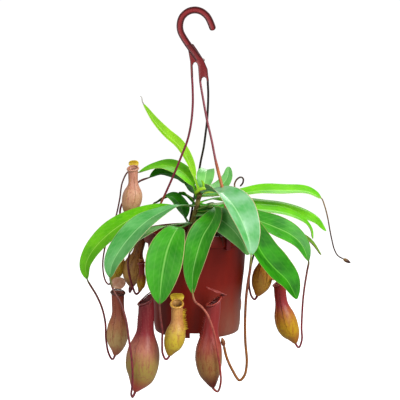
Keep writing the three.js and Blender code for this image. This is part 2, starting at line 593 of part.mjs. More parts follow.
function tendril({ from, to, route, bud }) {
  const rib = leaves[from].rib;
  const tip = rib[rib.length - 1];
  const first = tip.clone().add(vec(route[0]).sub(tip).setLength(gap + 0.1));
  const line = [first, ...route.map(vec)];
  if (to) {
    const [foot, next] = jugs[to].spine.map(vec);
    line.push(foot.clone().add(foot.clone().sub(next).setLength(gap + 0.1)));
  }
  const curve = smoothCurve(line);
  const stalk = tube(curve, tendrilRadius, 5, Math.max(8, Math.round(curve.getLength() / 12)));
  if (!bud) return stalk;
  const [radius, length] = bud;
  const end = line[line.length - 1];
  const ahead = curve.getTangent(1);
  const side = new THREE.Vector3().crossVectors(ahead, new THREE.Vector3(0, 1, 0)).normalize();
  const other = new THREE.Vector3().crossVectors(side, ahead);
  const rings = [0.08, 0.3, 0.55, 0.8].map((t) => Array.from({ length: 6 }, (_, i) => {
    const angle = (-i / 6) * 2 * Math.PI;
    const r = radius * Math.pow(Math.sin(Math.PI * Math.pow(t, 0.8)), 0.7);
    return end.clone().addScaledVector(ahead, (t - 0.12) * length)
      .addScaledVector(side, r * Math.cos(angle)).addScaledVector(other, r * Math.sin(angle));
  }));
  const pod = skin(rings, end.clone().addScaledVector(ahead, -0.12 * length),
    end.clone().addScaledVector(ahead, 0.9 * length));
  return join(stalk, pod);
}

for (const [name, thread] of Object.entries(tendrils)) addPiece(name, tendril(thread), tendrilSkin);

addPiece('hook', hook(), hangerPlastic);
for (const [name, line] of Object.entries(strands)) addPiece(name, strand(line), hangerPlastic);
addPiece('pot', pot(), potPlastic);
addPiece('soil', soil(), soilMix);
addPiece('stem', stem(), stemBark);

export default plant;
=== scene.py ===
import math
import random
import bpy
from mathutils import Euler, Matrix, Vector


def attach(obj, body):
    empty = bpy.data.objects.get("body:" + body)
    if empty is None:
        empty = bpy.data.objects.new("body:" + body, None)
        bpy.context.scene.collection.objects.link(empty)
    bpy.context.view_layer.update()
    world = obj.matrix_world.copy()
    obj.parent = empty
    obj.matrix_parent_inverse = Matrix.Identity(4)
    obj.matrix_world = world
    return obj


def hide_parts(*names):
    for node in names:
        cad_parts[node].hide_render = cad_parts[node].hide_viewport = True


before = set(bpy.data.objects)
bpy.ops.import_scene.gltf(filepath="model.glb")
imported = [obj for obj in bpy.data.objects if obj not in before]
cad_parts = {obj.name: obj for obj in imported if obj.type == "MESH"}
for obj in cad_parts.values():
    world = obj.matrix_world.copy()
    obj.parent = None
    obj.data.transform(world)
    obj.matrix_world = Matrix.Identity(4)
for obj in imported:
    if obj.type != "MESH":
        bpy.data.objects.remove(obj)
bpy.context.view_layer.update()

mm = 0.001
up = Vector((0, 0, 1))
random.seed(7)


# Colours are sRGB hex, turned to linear here
def colour(text):
    parts = [int(text[i:i + 2], 16) / 255 for i in (1, 3, 5)]
    return [c / 12.92 if c <= 0.04045 else ((c + 0.055) / 1.055) ** 2.4 for c in parts] + [1]


# Adds one node. Settings are node properties or inputs by name or number, stops fill a ramp
def addNode(tree, kind, settings=None, links=None, stops=None):
    node = tree.nodes.new(kind)
    for key, value in (settings or {}).items():
        if isinstance(key, str) and hasattr(node, key):
            setattr(node, key, value)
        else:
            node.inputs[key].default_value = value
    for key, source in (links or {}).items():
        tree.links.new(source, node.inputs[key])
    if stops:
        elements = node.color_ramp.elements
        while len(elements) < len(stops):
            elements.new(0.5)
        for element, (place, value) in zip(elements, stops):
            element.position = place
            element.color = colour(value) if isinstance(value, str) else (value, value, value, 1)
    return node


def newFinish(name, **settings):
    finish = bpy.data.materials.new(name)
    finish.use_nodes = True
    shader = finish.node_tree.nodes["Principled BSDF"]
    for key, value in settings.items():
        shader.inputs[key.replace("_", " ")].default_value = value
    return finish, finish.node_tree, shader


# Living leaf, waxy skin: faint feathered and lengthwise veins, pale rib, thin coloured margin
def leafFinish(name, light, dark, vein, margin, roughness, wax):
    finish, tree, shader = newFinish(name, Roughness=roughness, IOR=1.42, Coat_Weight=wax,
                                     Coat_Roughness=0.3, Specular_IOR_Level=0.1 + 0.4 * wax)
    place = addNode(tree, "ShaderNodeTexCoord")
    uv = addNode(tree, "ShaderNodeSeparateXYZ", links={0: place.outputs["UV"]})
    across = addNode(tree, "ShaderNodeMath", {"operation": "SUBTRACT", 1: 0.5}, {0: uv.outputs[0]})
    side = addNode(tree, "ShaderNodeMath", {"operation": "ABSOLUTE"}, {0: across.outputs[0]})
    # feathered veins about 5 mm apart, swept forward towards the tip
    sweep = addNode(tree, "ShaderNodeMath", {"operation": "MULTIPLY_ADD", 1: -0.3},
                    {0: side.outputs[0], 2: uv.outputs[1]})
    rows = addNode(tree, "ShaderNodeCombineXYZ", links={0: sweep.outputs[0]})
    feather = addNode(tree, "ShaderNodeTexWave", {"wave_profile": "SIN", "Scale": 6, "Distortion": 1.5,
                                                  "Detail": 2}, {"Vector": rows.outputs[0]})
    lanes = addNode(tree, "ShaderNodeCombineXYZ", links={0: side.outputs[0]})
    parallel = addNode(tree, "ShaderNodeTexWave", {"wave_profile": "SIN", "Scale": 1.9, "Distortion": 0.3},
                       {"Vector": lanes.outputs[0]})
    laneLine = addNode(tree, "ShaderNodeValToRGB", links={0: parallel.outputs["Color"]},
                       stops=[(0.88, 0.0), (1.0, 1.0)])
    cloud = addNode(tree, "ShaderNodeTexNoise", {"Scale": 45, "Detail": 3, "Roughness": 0.5},
                    {"Vector": place.outputs["Object"]})
    cloudy = addNode(tree, "ShaderNodeValToRGB", links={0: cloud.outputs["Fac"]},
                     stops=[(0.34, 0.0), (0.68, 1.0)])
    blade = addNode(tree, "ShaderNodeMix", {"data_type": "RGBA", 6: colour(light), 7: colour(dark)},
                    {0: cloudy.outputs[0]})
    faint = addNode(tree, "ShaderNodeMath", {"operation": "MULTIPLY", 1: 0.05}, {0: feather.outputs["Fac"]})
    veined = addNode(tree, "ShaderNodeMix", {"data_type": "RGBA", 7: colour(vein)},
                     {0: faint.outputs[0], 6: blade.outputs[2]})
    faintLane = addNode(tree, "ShaderNodeMath", {"operation": "MULTIPLY", 1: 0.1}, {0: laneLine.outputs[0]})
    laned = addNode(tree, "ShaderNodeMix", {"data_type": "RGBA", 7: colour(vein)},
                    {0: faintLane.outputs[0], 6: veined.outputs[2]})
    rib = addNode(tree, "ShaderNodeValToRGB", links={0: side.outputs[0]}, stops=[(0.012, 0.65), (0.034, 0.0)])
    ribbed = addNode(tree, "ShaderNodeMix", {"data_type": "RGBA", 7: colour(vein)},
                     {0: rib.outputs[0], 6: laned.outputs[2]})
    rim = addNode(tree, "ShaderNodeValToRGB", links={0: side.outputs[0]}, stops=[(0.472, 0.0), (0.492, 0.8)])
    edged = addNode(tree, "ShaderNodeMix", {"data_type": "RGBA", 7: colour(margin)},
                    {0: rim.outputs[0], 6: ribbed.outputs[2]})
    tree.links.new(edged.outputs[2], shader.inputs["Base Color"])
    relief = addNode(tree, "ShaderNodeMath", {"operation": "MULTIPLY_ADD", 1: -0.2},
                     {0: laneLine.outputs[0], 2: cloud.outputs["Fac"]})
    bump = addNode(tree, "ShaderNodeBump", {"Strength": 0.25, "Distance": 0.0006}, {"Height": relief.outputs[0]})
    tree.links.new(bump.outputs[0], shader.inputs["Normal"])
    return finish


# Living pitcher wall, satin skin: colour runs from foot to mouth, softly streaked and speckled, and past the mouth it
# turns near black, painted shade inside
def pitcherFinish(name, foot, belly, waist, neck, top, blotch):
    finish, tree, shader = newFinish(name, Roughness=0.42, IOR=1.42, Coat_Weight=0.15, Coat_Roughness=0.25,
                                     Specular_IOR_Level=0.3)
    place = addNode(tree, "ShaderNodeTexCoord")
    uv = addNode(tree, "ShaderNodeSeparateXYZ", links={0: place.outputs["UV"]})
    # streaks run up the wall, about 2 mm apart
    stretch = addNode(tree, "ShaderNodeMapping", {"Scale": (420, 420, 55)}, {0: place.outputs["Object"]})
    streak = addNode(tree, "ShaderNodeTexNoise", {"Scale": 1, "Detail": 4, "Roughness": 0.6},
                     {"Vector": stretch.outputs[0]})
    wander = addNode(tree, "ShaderNodeMath", {"operation": "MULTIPLY_ADD", 1: 0.09, 2: -0.045},
                     {0: streak.outputs["Fac"]})
    height = addNode(tree, "ShaderNodeMath", {"operation": "ADD"}, {0: uv.outputs[1], 1: wander.outputs[0]})
    # painted shade: the inside wall, past the mouth, is near black
    run = addNode(tree, "ShaderNodeValToRGB", links={0: height.outputs[0]},
                  stops=[(0.0, foot), (0.05, foot), (0.15, belly), (0.24, belly), (0.36, waist), (0.48, neck),
                         (0.72, top),
                         (0.76, "#2c0c08")])
    lines = addNode(tree, "ShaderNodeValToRGB", links={0: streak.outputs["Fac"]},
                    stops=[(0.48, 0.0), (0.7, 0.6)])
    streaked = addNode(tree, "ShaderNodeMix", {"data_type": "RGBA", 7: colour(blotch)},
                       {0: lines.outputs[0], 6: run.outputs[0]})
    speck = addNode(tree, "ShaderNodeTexNoise", {"Scale": 420, "Detail": 3}, {"Vector": place.outputs["Object"]})
    spots = addNode(tree, "ShaderNodeValToRGB", links={0: speck.outputs["Fac"]}, stops=[(0.56, 0.0), (0.66, 0.45)])
    spotted = addNode(tree, "ShaderNodeMix", {"data_type": "RGBA", 7: colour(blotch)},
                      {0: spots.outputs[0], 6: streaked.outputs[2]})
    tree.links.new(spotted.outputs[2], shader.inputs["Base Color"])
    relief = addNode(tree, "ShaderNodeMath", {"operation": "ADD"},
                     {0: streak.outputs["Fac"], 1: speck.outputs["Fac"]})
    bump = addNode(tree, "ShaderNodeBump", {"Strength": 0.35, "Distance": 0.0004}, {"Height": relief.outputs[0]})
    tree.links.new(bump.outputs[0], shader.inputs["Normal"])
    return finish


# Tendril skin, downy: green where it leaves the leaf, then brown, then wine red to its end
def tendrilFinish(name, start, middle, end):
    finish, tree, shader = newFinish(name, Roughness=0.5, IOR=1.42, Coat_Weight=0.15, Coat_Roughness=0.3,
                                     Specular_IOR_Level=0.4)
    place = addNode(tree, "ShaderNodeTexCoord")
    uv = addNode(tree, "ShaderNodeSeparateXYZ", links={0: place.outputs["UV"]})
    run = addNode(tree, "ShaderNodeValToRGB", links={0: uv.outputs[1]},
                  stops=[(0.0, start), (0.03, start), (0.1, middle), (0.6, end)])
    cloud = addNode(tree, "ShaderNodeTexNoise", {"Scale": 260, "Detail": 4}, {"Vector": place.outputs["Object"]})
    spots = addNode(tree, "ShaderNodeValToRGB", links={0: cloud.outputs["Fac"]}, stops=[(0.45, 0.0), (0.7, 0.6)])
    tone = addNode(tree, "ShaderNodeMix", {"data_type": "RGBA", 7: colour("#3c1418")},
                   {0: spots.outputs[0], 6: run.outputs[0]})
    tree.links.new(tone.outputs[2], shader.inputs["Base Color"])
    down = addNode(tree, "ShaderNodeTexNoise", {"Scale": 1900, "Detail": 2}, {"Vector": place.outputs["Object"]})
    bump = addNode(tree, "ShaderNodeBump", {"Strength": 0.5, "Distance": 0.0003}, {"Height": down.outputs["Fac"]})
    tree.links.new(bump.outputs[0], shader.inputs["Normal"])
    return finish


# Plain living skin or moulded plastic: two tones in soft clouds, fine grain in the surface
def grainFinish(name, light, dark, roughness, coat, cloudSize, grainSize, relief, ior=1.45):
    finish, tree, shader = newFinish(name, IOR=ior, Coat_Weight=coat, Coat_Roughness=0.2)
    place = addNode(tree, "ShaderNodeTexCoord")
    cloud = addNode(tree, "ShaderNodeTexNoise", {"Scale": 1 / (cloudSize * mm), "Detail": 3},
                    {"Vector": place.outputs["Object"]})
    tone = addNode(tree, "ShaderNodeValToRGB", links={0: cloud.outputs["Fac"]}, stops=[(0.35, light), (0.68, dark)])
    tree.links.new(tone.outputs[0], shader.inputs["Base Color"])
    rough = addNode(tree, "ShaderNodeMapRange", {3: roughness - 0.06, 4: roughness + 0.1}, {0: cloud.outputs["Fac"]})
    tree.links.new(rough.outputs[0], shader.inputs["Roughness"])
    grain = addNode(tree, "ShaderNodeTexNoise", {"Scale": 1 / (grainSize * mm), "Detail": 3},
                    {"Vector": place.outputs["Object"]})
    bump = addNode(tree, "ShaderNodeBump", {"Strength": relief, "Distance": 0.0004}, {"Height": grain.outputs["Fac"]})
    tree.links.new(bump.outputs[0], shader.inputs["Normal"])
    return finish


# Moulded polypropylene of a strand, wine turning to amber from one height to another, in mm
def strandFinish(name, upper, lower, high, low):
    finish, tree, shader = newFinish(name, Roughness=0.42, IOR=1.49, Coat_Weight=0.1, Coat_Roughness=0.2)
    place = addNode(tree, "ShaderNodeTexCoord")
    spot = addNode(tree, "ShaderNodeSeparateXYZ", links={0: place.outputs["Object"]})
    byHeight = addNode(tree, "ShaderNodeMapRange", {1: high * mm, 2: low * mm}, {0: spot.outputs[2]})
    cloud = addNode(tree, "ShaderNodeTexNoise", {"Scale": 120, "Detail": 3}, {"Vector": place.outputs["Object"]})
    tone = addNode(tree, "ShaderNodeMix", {"data_type": "RGBA", 6: colour(upper), 7: colour(lower)},
                   {0: byHeight.outputs[0]})
    worn = addNode(tree, "ShaderNodeValToRGB", links={0: cloud.outputs["Fac"]}, stops=[(0.4, 0.0), (0.75, 0.5)])
    mottled = addNode(tree, "ShaderNodeMix", {"data_type": "RGBA", 7: colour("#3c0a12")},
                      {0: worn.outputs[0], 6: tone.outputs[2]})
    tree.links.new(mottled.outputs[2], shader.inputs["Base Color"])
    bump = addNode(tree, "ShaderNodeBump", {"Strength": 0.1, "Distance": 0.0003}, {"Height": cloud.outputs["Fac"]})
    tree.links.new(bump.outputs[0], shader.inputs["Normal"])
    return finish


# Moulded polypropylene of the hook's ribbed rod: its two flanges are painted darker than the web between, painted
# shade for the rod's dark edges
def ribbedFinish(name, web, flange):
    finish, tree, shader = newFinish(name, Roughness=0.42, IOR=1.49)
    place = addNode(tree, "ShaderNodeTexCoord")
    uv = addNode(tree, "ShaderNodeSeparateXYZ", links={0: place.outputs["UV"]})
    # painted shade: the flange faces take the darker colour, the sunk web the lighter
    tone = addNode(tree, "ShaderNodeValToRGB", links={0: uv.outputs[0]},
                   stops=[(0.0, flange), (0.19, flange), (0.25, web), (0.34, web), (0.4, flange), (0.69, flange),
                          (0.75, web), (0.84, web), (0.9, flange), (1.0, flange)])
    tree.links.new(tone.outputs[0], shader.inputs["Base Color"])
    grain = addNode(tree, "ShaderNodeTexNoise", {"Scale": 600, "Detail": 2}, {"Vector": place.outputs["Object"]})
    bump = addNode(tree, "ShaderNodeBump", {"Strength": 0.06, "Distance": 0.0003}, {"Height": grain.outputs["Fac"]})
    tree.links.new(bump.outputs[0], shader.inputs["Normal"])
    return finish


# Moulded polypropylene of the pot: satin, with a grey-brown sheen painted low on its lit right side
def potFinish():
    finish, tree, shader = newFinish("polypropylene, moulded, water marked", IOR=1.49, Specular_IOR_Level=0.25)
    place = addNode(tree, "ShaderNodeTexCoord")
    spot = addNode(tree, "ShaderNodeSeparateXYZ", links={0: place.outputs["Object"]})
    low = addNode(tree, "ShaderNodeMapRange", {1: -0.345, 2: -0.42, 3: 0.0, 4: 0.85}, {0: spot.outputs[2]})
    stretch = addNode(tree, "ShaderNodeMapping", {"Scale": (60, 60, 22)}, {0: place.outputs["Object"]})
    streak = addNode(tree, "ShaderNodeTexNoise", {"Scale": 1, "Detail": 5, "Roughness": 0.65},
                     {"Vector": stretch.outputs[0]})
    lit = addNode(tree, "ShaderNodeMapRange", {1: 0.005, 2: 0.06, 3: 0.1, 4: 1.8}, {0: spot.outputs[0]})
    lowRight = addNode(tree, "ShaderNodeMath", {"operation": "MULTIPLY"}, {0: low.outputs[0], 1: lit.outputs[0]})
    # painted sheen: grey-brown mixed in low on the right side, where the light falls, broken by the streaks
    paintedSheen = addNode(tree, "ShaderNodeMath", {"operation": "MULTIPLY"},
                    {0: lowRight.outputs[0], 1: streak.outputs["Fac"]})
    tone = addNode(tree, "ShaderNodeValToRGB", links={0: streak.outputs["Fac"]},
                   stops=[(0.3, "#7e1809"), (0.7, "#721104")])
    marked = addNode(tree, "ShaderNodeMix", {"data_type": "RGBA", 7: colour("#8a6450")},
                     {0: paintedSheen.outputs[0], 6: tone.outputs[0]})
    tree.links.new(marked.outputs[2], shader.inputs["Base Color"])
    rough = addNode(tree, "ShaderNodeMapRange", {3: 0.4, 4: 0.5}, {0: streak.outputs["Fac"]})
    tree.links.new(rough.outputs[0], shader.inputs["Roughness"])
    grain = addNode(tree, "ShaderNodeTexNoise", {"Scale": 900, "Detail": 2}, {"Vector": place.outputs["Object"]})
    bump = addNode(tree, "ShaderNodeBump", {"Strength": 0.12, "Distance": 0.0003}, {"Height": grain.outputs["Fac"]})
    tree.links.new(bump.outputs[0], shader.inputs["Normal"])
    return finish


# Rolled lip of a pitcher, glossy: fine ribs run across it
def lipFinish(name, light, dark):
    finish, tree, shader = newFinish(name, Roughness=0.22, IOR=1.45, Coat_Weight=0.6, Coat_Roughness=0.12)
    place = addNode(tree, "ShaderNodeTexCoord")
    uv = addNode(tree, "ShaderNodeSeparateXYZ", links={0: place.outputs["UV"]})
    around = addNode(tree, "ShaderNodeCombineXYZ", links={0: uv.outputs[0]})
    ribs = addNode(tree, "ShaderNodeTexWave", {"Scale": 14, "wave_profile": "SIN"}, {"Vector": around.outputs[0]})
    tone = addNode(tree, "ShaderNodeMix", {"data_type": "RGBA", 6: colour(dark), 7: colour(light)},
                   {0: ribs.outputs["Fac"]})
    tree.links.new(tone.outputs[2], shader.inputs["Base Color"])
    bump = addNode(tree, "ShaderNodeBump", {"Strength": 0.5, "Distance": 0.0004}, {"Height": ribs.outputs["Fac"]})
    tree.links.new(bump.outputs[0], shader.inputs["Normal"])
    return finish


leafSkins = {
    "bright": leafFinish("leaf skin, waxy, bright green", "#4aa804", "#2c8602", "#8cd44c", "#c0cc70", 0.44, 0.12),
    "fresh": leafFinish("leaf skin, waxy, fresh green", "#6cc40c", "#4ca804", "#a8e458", "#c8d080", 0.46, 0.08),
    "lime": leafFinish("leaf skin, waxy, lime green", "#8cc81c", "#6cac10", "#b8e468", "#c8d080", 0.46, 0.08),
    "middle": leafFinish("leaf skin, waxy, middle green", "#3c9c16", "#227c0c", "#88c860", "#c8a880", 0.42, 0.15),
    "gloss": leafFinish("leaf skin, waxy, blue green", "#5cac58", "#309030", "#98d488", "#c8c898", 0.34, 0.5),
    # pale blue green: painted sheen, the waxy highlight of leaf_front_right laid into its colour
    "bloom": leafFinish("leaf skin, waxy with a pale bloom", "#84bc8c", "#44a048", "#a0d498", "#c89878", 0.34, 0.5),
    # deep green: partly the leaves' own colour, partly painted shade on leaves set back in the shadow of others
    "dark": leafFinish("leaf skin, waxy, deep green with painted shade", "#2c8c04", "#186404", "#60b434", "#98a050", 0.55, 0.02),
    "olive": leafFinish("leaf skin, waxy, olive", "#64901c", "#3e6810", "#98b450", "#986c40", 0.42, 0.15),
    "yellow": leafFinish("leaf skin, waxy, yellow green", "#94c420", "#70a414", "#bcd860", "#c09858", 0.42, 0.15),
    "pale": leafFinish("leaf skin, waxy, pale green", "#74bc5c", "#4ca040", "#ace090", "#c8c8a0", 0.36, 0.4),
}
pitcherSkins = {
    "rose": pitcherFinish("pitcher wall, satin, rose", "#a47c38", "#c49470", "#c89878", "#c48c74", "#c08870",
                          "#a05848"),
    "tan": pitcherFinish("pitcher wall, satin, tan", "#a86444", "#c0a068", "#b87c50", "#a45c44", "#884030",
                         "#a04c3c"),
    "maroon": pitcherFinish("pitcher wall, satin, maroon", "#b84838", "#9c8440", "#b07058", "#84242c", "#701c24",
                            "#904440"),
    "umber": pitcherFinish("pitcher wall, satin, umber", "#5c2010", "#906838", "#984838", "#8c2828", "#842c2c",
                           "#782018"),
    "yellow": pitcherFinish("pitcher wall, satin, yellow", "#b48c20", "#c4ac30", "#c4a440", "#c48c50", "#cc9850",
                            "#985030"),
    "orange": pitcherFinish("pitcher wall, satin, orange", "#b47810", "#cc9838", "#c88830", "#c47424", "#b85828",
                            "#9c4420"),
    "amber": pitcherFinish("pitcher wall, satin, amber", "#a4681c", "#b48c10", "#a86820", "#902c30", "#801814",
                           "#8c3418"),
    "olive": pitcherFinish("pitcher wall, satin, olive", "#986420", "#c09450", "#b48048", "#a06838", "#80482c",
                           "#7c4420"),
}
lipSkins = {
    "rose": lipFinish("pitcher lip, glossy, rose", "#d09878", "#ac6c58"),
    "dark": lipFinish("pitcher lip, glossy, near black", "#60241c", "#240a08"),
    "maroon": lipFinish("pitcher lip, glossy, maroon", "#9c3c3c", "#440a10"),
    "yellow": lipFinish("pitcher lip, glossy, amber", "#e8b048", "#b47c28"),
    "red": lipFinish("pitcher lip, glossy, red", "#b84838", "#681014"),
}
lidSkins = {
    "tan": grainFinish("pitcher lid, satin, rose tan", "#e4b494", "#c88868", 0.42, 0.2, 5, 0.6, 0.3),
    "maroon": grainFinish("pitcher lid, satin, maroon", "#b45c54", "#842c2c", 0.4, 0.25, 4, 0.6, 0.3),
    "yellow": grainFinish("pitcher lid, satin, yellow", "#dcc02c", "#b8941c", 0.44, 0.15, 6, 0.6, 0.3),
    "orange": grainFinish("pitcher lid, satin, orange", "#c07830", "#983020", 0.4, 0.2, 4, 0.6, 0.3),
}
tendrilSkins = {
    "wine": tendrilFinish("tendril skin, downy, wine red", "#5c7c38", "#6c3c30", "#7c2430"),
    "rose": tendrilFinish("tendril skin, downy, rose", "#8c7c40", "#a85c48", "#9c3c34"),
    "brown": tendrilFinish("tendril skin, downy, brown", "#7c8c3c", "#743828", "#8c541e"),
    "olive": tendrilFinish("tendril skin, downy, olive brown", "#94943c", "#886430", "#34180f"),
}
driedSkin = grainFinish("dried leaf tip, papery", "#b0a898", "#6c6458", 0.8, 0.0, 3, 0.5, 0.5)
stemBark = grainFinish("young stem, fibrous", "#8c8438", "#5c4420", 0.75, 0.0, 6, 0.9, 0.8)
hangerPlastic = grainFinish("polypropylene, moulded, gloss crimson", "#74080e", "#5c060a", 0.42, 0.0, 25, 1.5, 0.05,
                            1.49)
# the darker edge colour is painted shade on the fork's raised border and sides
hangerShadedEdge = grainFinish("polypropylene, moulded, crimson edge with painted shade", "#48040a", "#380206", 0.46, 0.0, 25, 1.5, 0.05,
                         1.49)
# the hook rod's darker flanges are painted shade
ribbedPlastic = ribbedFinish("polypropylene, moulded, ribbed crimson", "#7c0c12", "#400408")
leftPlastic = strandFinish("polypropylene, moulded, wine to amber, left", "#7c1c30", "#a8582c", -235, -252)
frontPlastic = strandFinish("polypropylene, moulded, wine to amber, front", "#7c1c30", "#b0602c", -182, -202)
# the back strand is painted near black, painted shade for a strand that hangs behind the plant
backShadedPlastic = grainFinish("polypropylene, moulded, gloss wine, painted shade", "#280a10", "#16060a", 0.4, 0.1, 25, 1.5, 0.05,
                          1.49)
gateMark = grainFinish("polypropylene, broken at the moulding gate", "#a09088", "#584038", 0.7, 0.0, 1, 0.5, 0.6)
soilMix = grainFinish("growing mix, loose", "#46301e", "#1c1008", 0.92, 0.0, 3, 0.6, 1.0)
barkChip = grainFinish("bark chip, broken", "#84583a", "#3a2212", 0.85, 0.0, 2, 0.4, 0.8)
darkBark = grainFinish("bark chip and root, dark brown", "#5c3420", "#28140c", 0.7, 0.0, 2, 0.4, 0.8)
print("finishes made")


# Smooth line through points in mm, measured along its length
class Line:
    def __init__(self, points, steps=24):
        pts = [Vector(p) for p in points]
        pts = [2 * pts[0] - pts[1]] + pts + [2 * pts[-1] - pts[-2]]
        self.places = []
        for a, b, c, d in zip(pts, pts[1:], pts[2:], pts[3:]):
            ab, bc, cd = (max((q - p).length, 1e-6) ** 0.5 for p, q in ((a, b), (b, c), (c, d)))
            start = ((b - a) / ab - (c - a) / (ab + bc) + (c - b) / bc) * bc
            end = ((c - b) / bc - (d - b) / (bc + cd) + (d - c) / cd) * bc
            for i in range(steps):
                t = i / steps
                self.places.append(b * (2 * t ** 3 - 3 * t ** 2 + 1) + c * (3 * t ** 2 - 2 * t ** 3)
                                   + start * (t ** 3 - 2 * t ** 2 + t) + end * (t ** 3 - t ** 2))
        self.places.append(pts[-2])
        self.reach = [0]
        for p, q in zip(self.places, self.places[1:]):
            self.reach.append(self.reach[-1] + (q - p).length)
        self.length = self.reach[-1]

    def at(self, t):
        want = min(max(t, 0), 1) * self.length
        low, high = 0, len(self.reach) - 1
        while high - low > 1:
            middle = (low + high) // 2
            low, high = (middle, high) if self.reach[middle] <= want else (low, middle)
        share = (want - self.reach[low]) / max(self.reach[high] - self.reach[low], 1e-9)
        return self.places[low].lerp(self.places[high], share)

    def along(self, t):
        return (self.at(min(t + 0.004, 1)) - self.at(max(t - 0.004, 0))).normalized()


def smooth(t, low, high):
    x = min(max((t - low) / (high - low), 0), 1)
    return x * x * (3 - 2 * x)


# A grid laid on a shape: place(u, v) gives the point in mm. Closed joins its two sides, and span is
# the part of the finish's length that it shows
def laid(name, across, rows, place, finish, closed=False, span=(0, 1)):
    bpy.ops.object.select_all(action="DESELECT")
    bpy.ops.mesh.primitive_grid_add(x_subdivisions=across, y_subdivisions=rows, size=1)
    piece = bpy.context.object
    piece.name = piece.data.name = name
    for vertex in piece.data.vertices:
        vertex.co = place(vertex.co.x + 0.5, vertex.co.y + 0.5) * mm
    for corner in piece.data.uv_layers.active.data:
        corner.uv.y = span[0] + (span[1] - span[0]) * corner.uv.y
    if closed:
        bpy.ops.object.mode_set(mode="EDIT")
        bpy.ops.mesh.select_all(action="SELECT")
        bpy.ops.mesh.remove_doubles(threshold=0.00002)
        bpy.ops.mesh.normals_make_consistent(inside=False)
        bpy.ops.object.mode_set(mode="OBJECT")
    piece.data.materials.append(finish)
    bpy.ops.object.shade_smooth()
    return piece


def applied(piece, kind, **settings):
    bpy.ops.object.select_all(action="DESELECT")
    bpy.context.view_layer.objects.active = piece
    piece.select_set(True)
    modifier = piece.modifiers.new(kind.title(), kind)
    for key, value in settings.items():
        setattr(modifier, key, value)
    bpy.ops.object.modifier_apply(modifier=modifier.name)
    return piece


def joined(pieces, name):
    bpy.ops.object.select_all(action="DESELECT")
    for piece in pieces:
        piece.select_set(True)
    bpy.context.view_layer.objects.active = pieces[0]
    if len(pieces) > 1:
        bpy.ops.object.join()
    pieces[0].name = pieces[0].data.name = name
    return pieces[0]


def standFor(piece, node):
    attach(piece, "root")
    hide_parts(node)


def outward(piece):
    bpy.ops.object.select_all(action="DESELECT")
    bpy.context.view_layer.objects.active = piece
    piece.select_set(True)
    bpy.ops.object.mode_set(mode="EDIT")
    bpy.ops.mesh.select_all(action="SELECT")
    bpy.ops.mesh.normals_make_consistent(inside=False)
    bpy.ops.object.mode_set(mode="OBJECT")


# A flat outline in mm drawn out to a thick plate, with its edges rounded. panel is the width of the
# raised border that is left round both faces and how deep they are sunk inside it, border the finish of that border
# and the sides, which on the hook's fork is a darker one, painted shade
def plate(outline, draw, edge, finish, panel=None, border=None):
    bpy.ops.object.select_all(action="DESELECT")
    bpy.ops.mesh.primitive_circle_add(vertices=len(outline), radius=1, fill_type="NGON")
    piece = bpy.context.object
    for vertex, point in zip(piece.data.vertices, outline):
        vertex.co = Vector(point) * mm
    bpy.ops.object.mode_set(mode="EDIT")
    bpy.ops.mesh.select_all(action="SELECT")
    bpy.ops.mesh.extrude_region_move(TRANSFORM_OT_translate={"value": draw * mm})
    bpy.ops.object.mode_set(mode="OBJECT")
    outward(piece)
    if panel:
        bpy.ops.object.mode_set(mode="EDIT")
        bpy.ops.mesh.select_mode(type="FACE")
        bpy.ops.mesh.select_all(action="DESELECT")
        bpy.ops.object.mode_set(mode="OBJECT")
        for face in piece.data.polygons:
            face.select = len(face.vertices) > 4
        bpy.ops.object.mode_set(mode="EDIT")
        bpy.ops.mesh.inset(thickness=panel[0] * mm, depth=-panel[1] * mm)
        bpy.ops.object.mode_set(mode="OBJECT")
    piece.data.materials.append(finish)
    if border:
        piece.data.materials.append(border)
        for face in piece.data.polygons:
            face.material_index = 0 if len(face.vertices) > 4 else 1
    applied(piece, "BEVEL", width=edge * mm, segments=3, limit_method="ANGLE", angle_limit=math.radians(30))
    bpy.ops.object.shade_smooth_by_angle(angle=math.radians(35))
    return piece


# A copy with its own mesh, its length turned from +Z to the line from one point to another, in mm
def copiedBetween(source, start, end, thick=1):
    piece = source.copy()
    piece.data = source.data.copy()
    bpy.context.collection.objects.link(piece)
    turn = (end - start).to_track_quat("Z", "Y")
    length = (end - start).length
    for vertex in piece.data.vertices:
        x, y, z = vertex.co
        vertex.co = (turn @ Vector((x * thick, y * thick, z * length)) + start) * mm
    return piece


# A round rod along a line. radius(t) is in mm, and its two ends close to a point
def rod(name, line, radius, finish, around=12, spacing=1.6):
    rows = max(12, round(line.length / spacing))
    frames, side = [], None
    for i in range(rows + 1):
        along = line.along(i / rows)
        if side is None:
            side = along.cross(Vector((0.3, 0.9, 0.2))).normalized()
        side = (side - along * side.dot(along)).normalized()
        frames.append((side.copy(), along.cross(side)))

    def place(u, v):
        row = round(v * rows)
        a, b = frames[row]
        r = 0 if row in (0, rows) else radius(v)
        angle = 2 * math.pi * u
        return line.at(v) + a * r * math.cos(angle) + b * r * math.sin(angle)

    return laid(name, around, rows, place, finish, closed=True)


# Hook: ribbed rod round the rail and a plate that forks in three
hookParts = {
    "line": [(21.5, 0, -22), (18, 0, -12.5), (13.5, 0, -4), (6.5, 0, 2), (-1.5, 0, 4.3), (-11, 0, 2.5),
             (-19, 0, -4.5), (-22, 0, -14), (-21, 0, -23.5), (-16, 0, -33), (-9.5, 0, -42.5), (-3, 0, -51),
             (2.6, 0, -58.4)],
    "fork": [(-13, -41), (-11.6, -46), (-8.8, -62), (-8, -81), (-4.8, -81), (-5.4, -67), (-4, -63.5),
             (-2, -62.5), (0, -64), (1.4, -68), (2.8, -87), (5.9, -87), (6.6, -83.5), (9.3, -81.6),
             (12, -83.5), (12.6, -87), (15.7, -87), (14.8, -80.7), (13.9, -71.5), (9.3, -61), (6.5, -56),
             (0, -46), (-5, -39)],
    "width": 8.6, "depth": 6, "flange": 1.6, "web": 1.7, "forkDepth": 5,
}


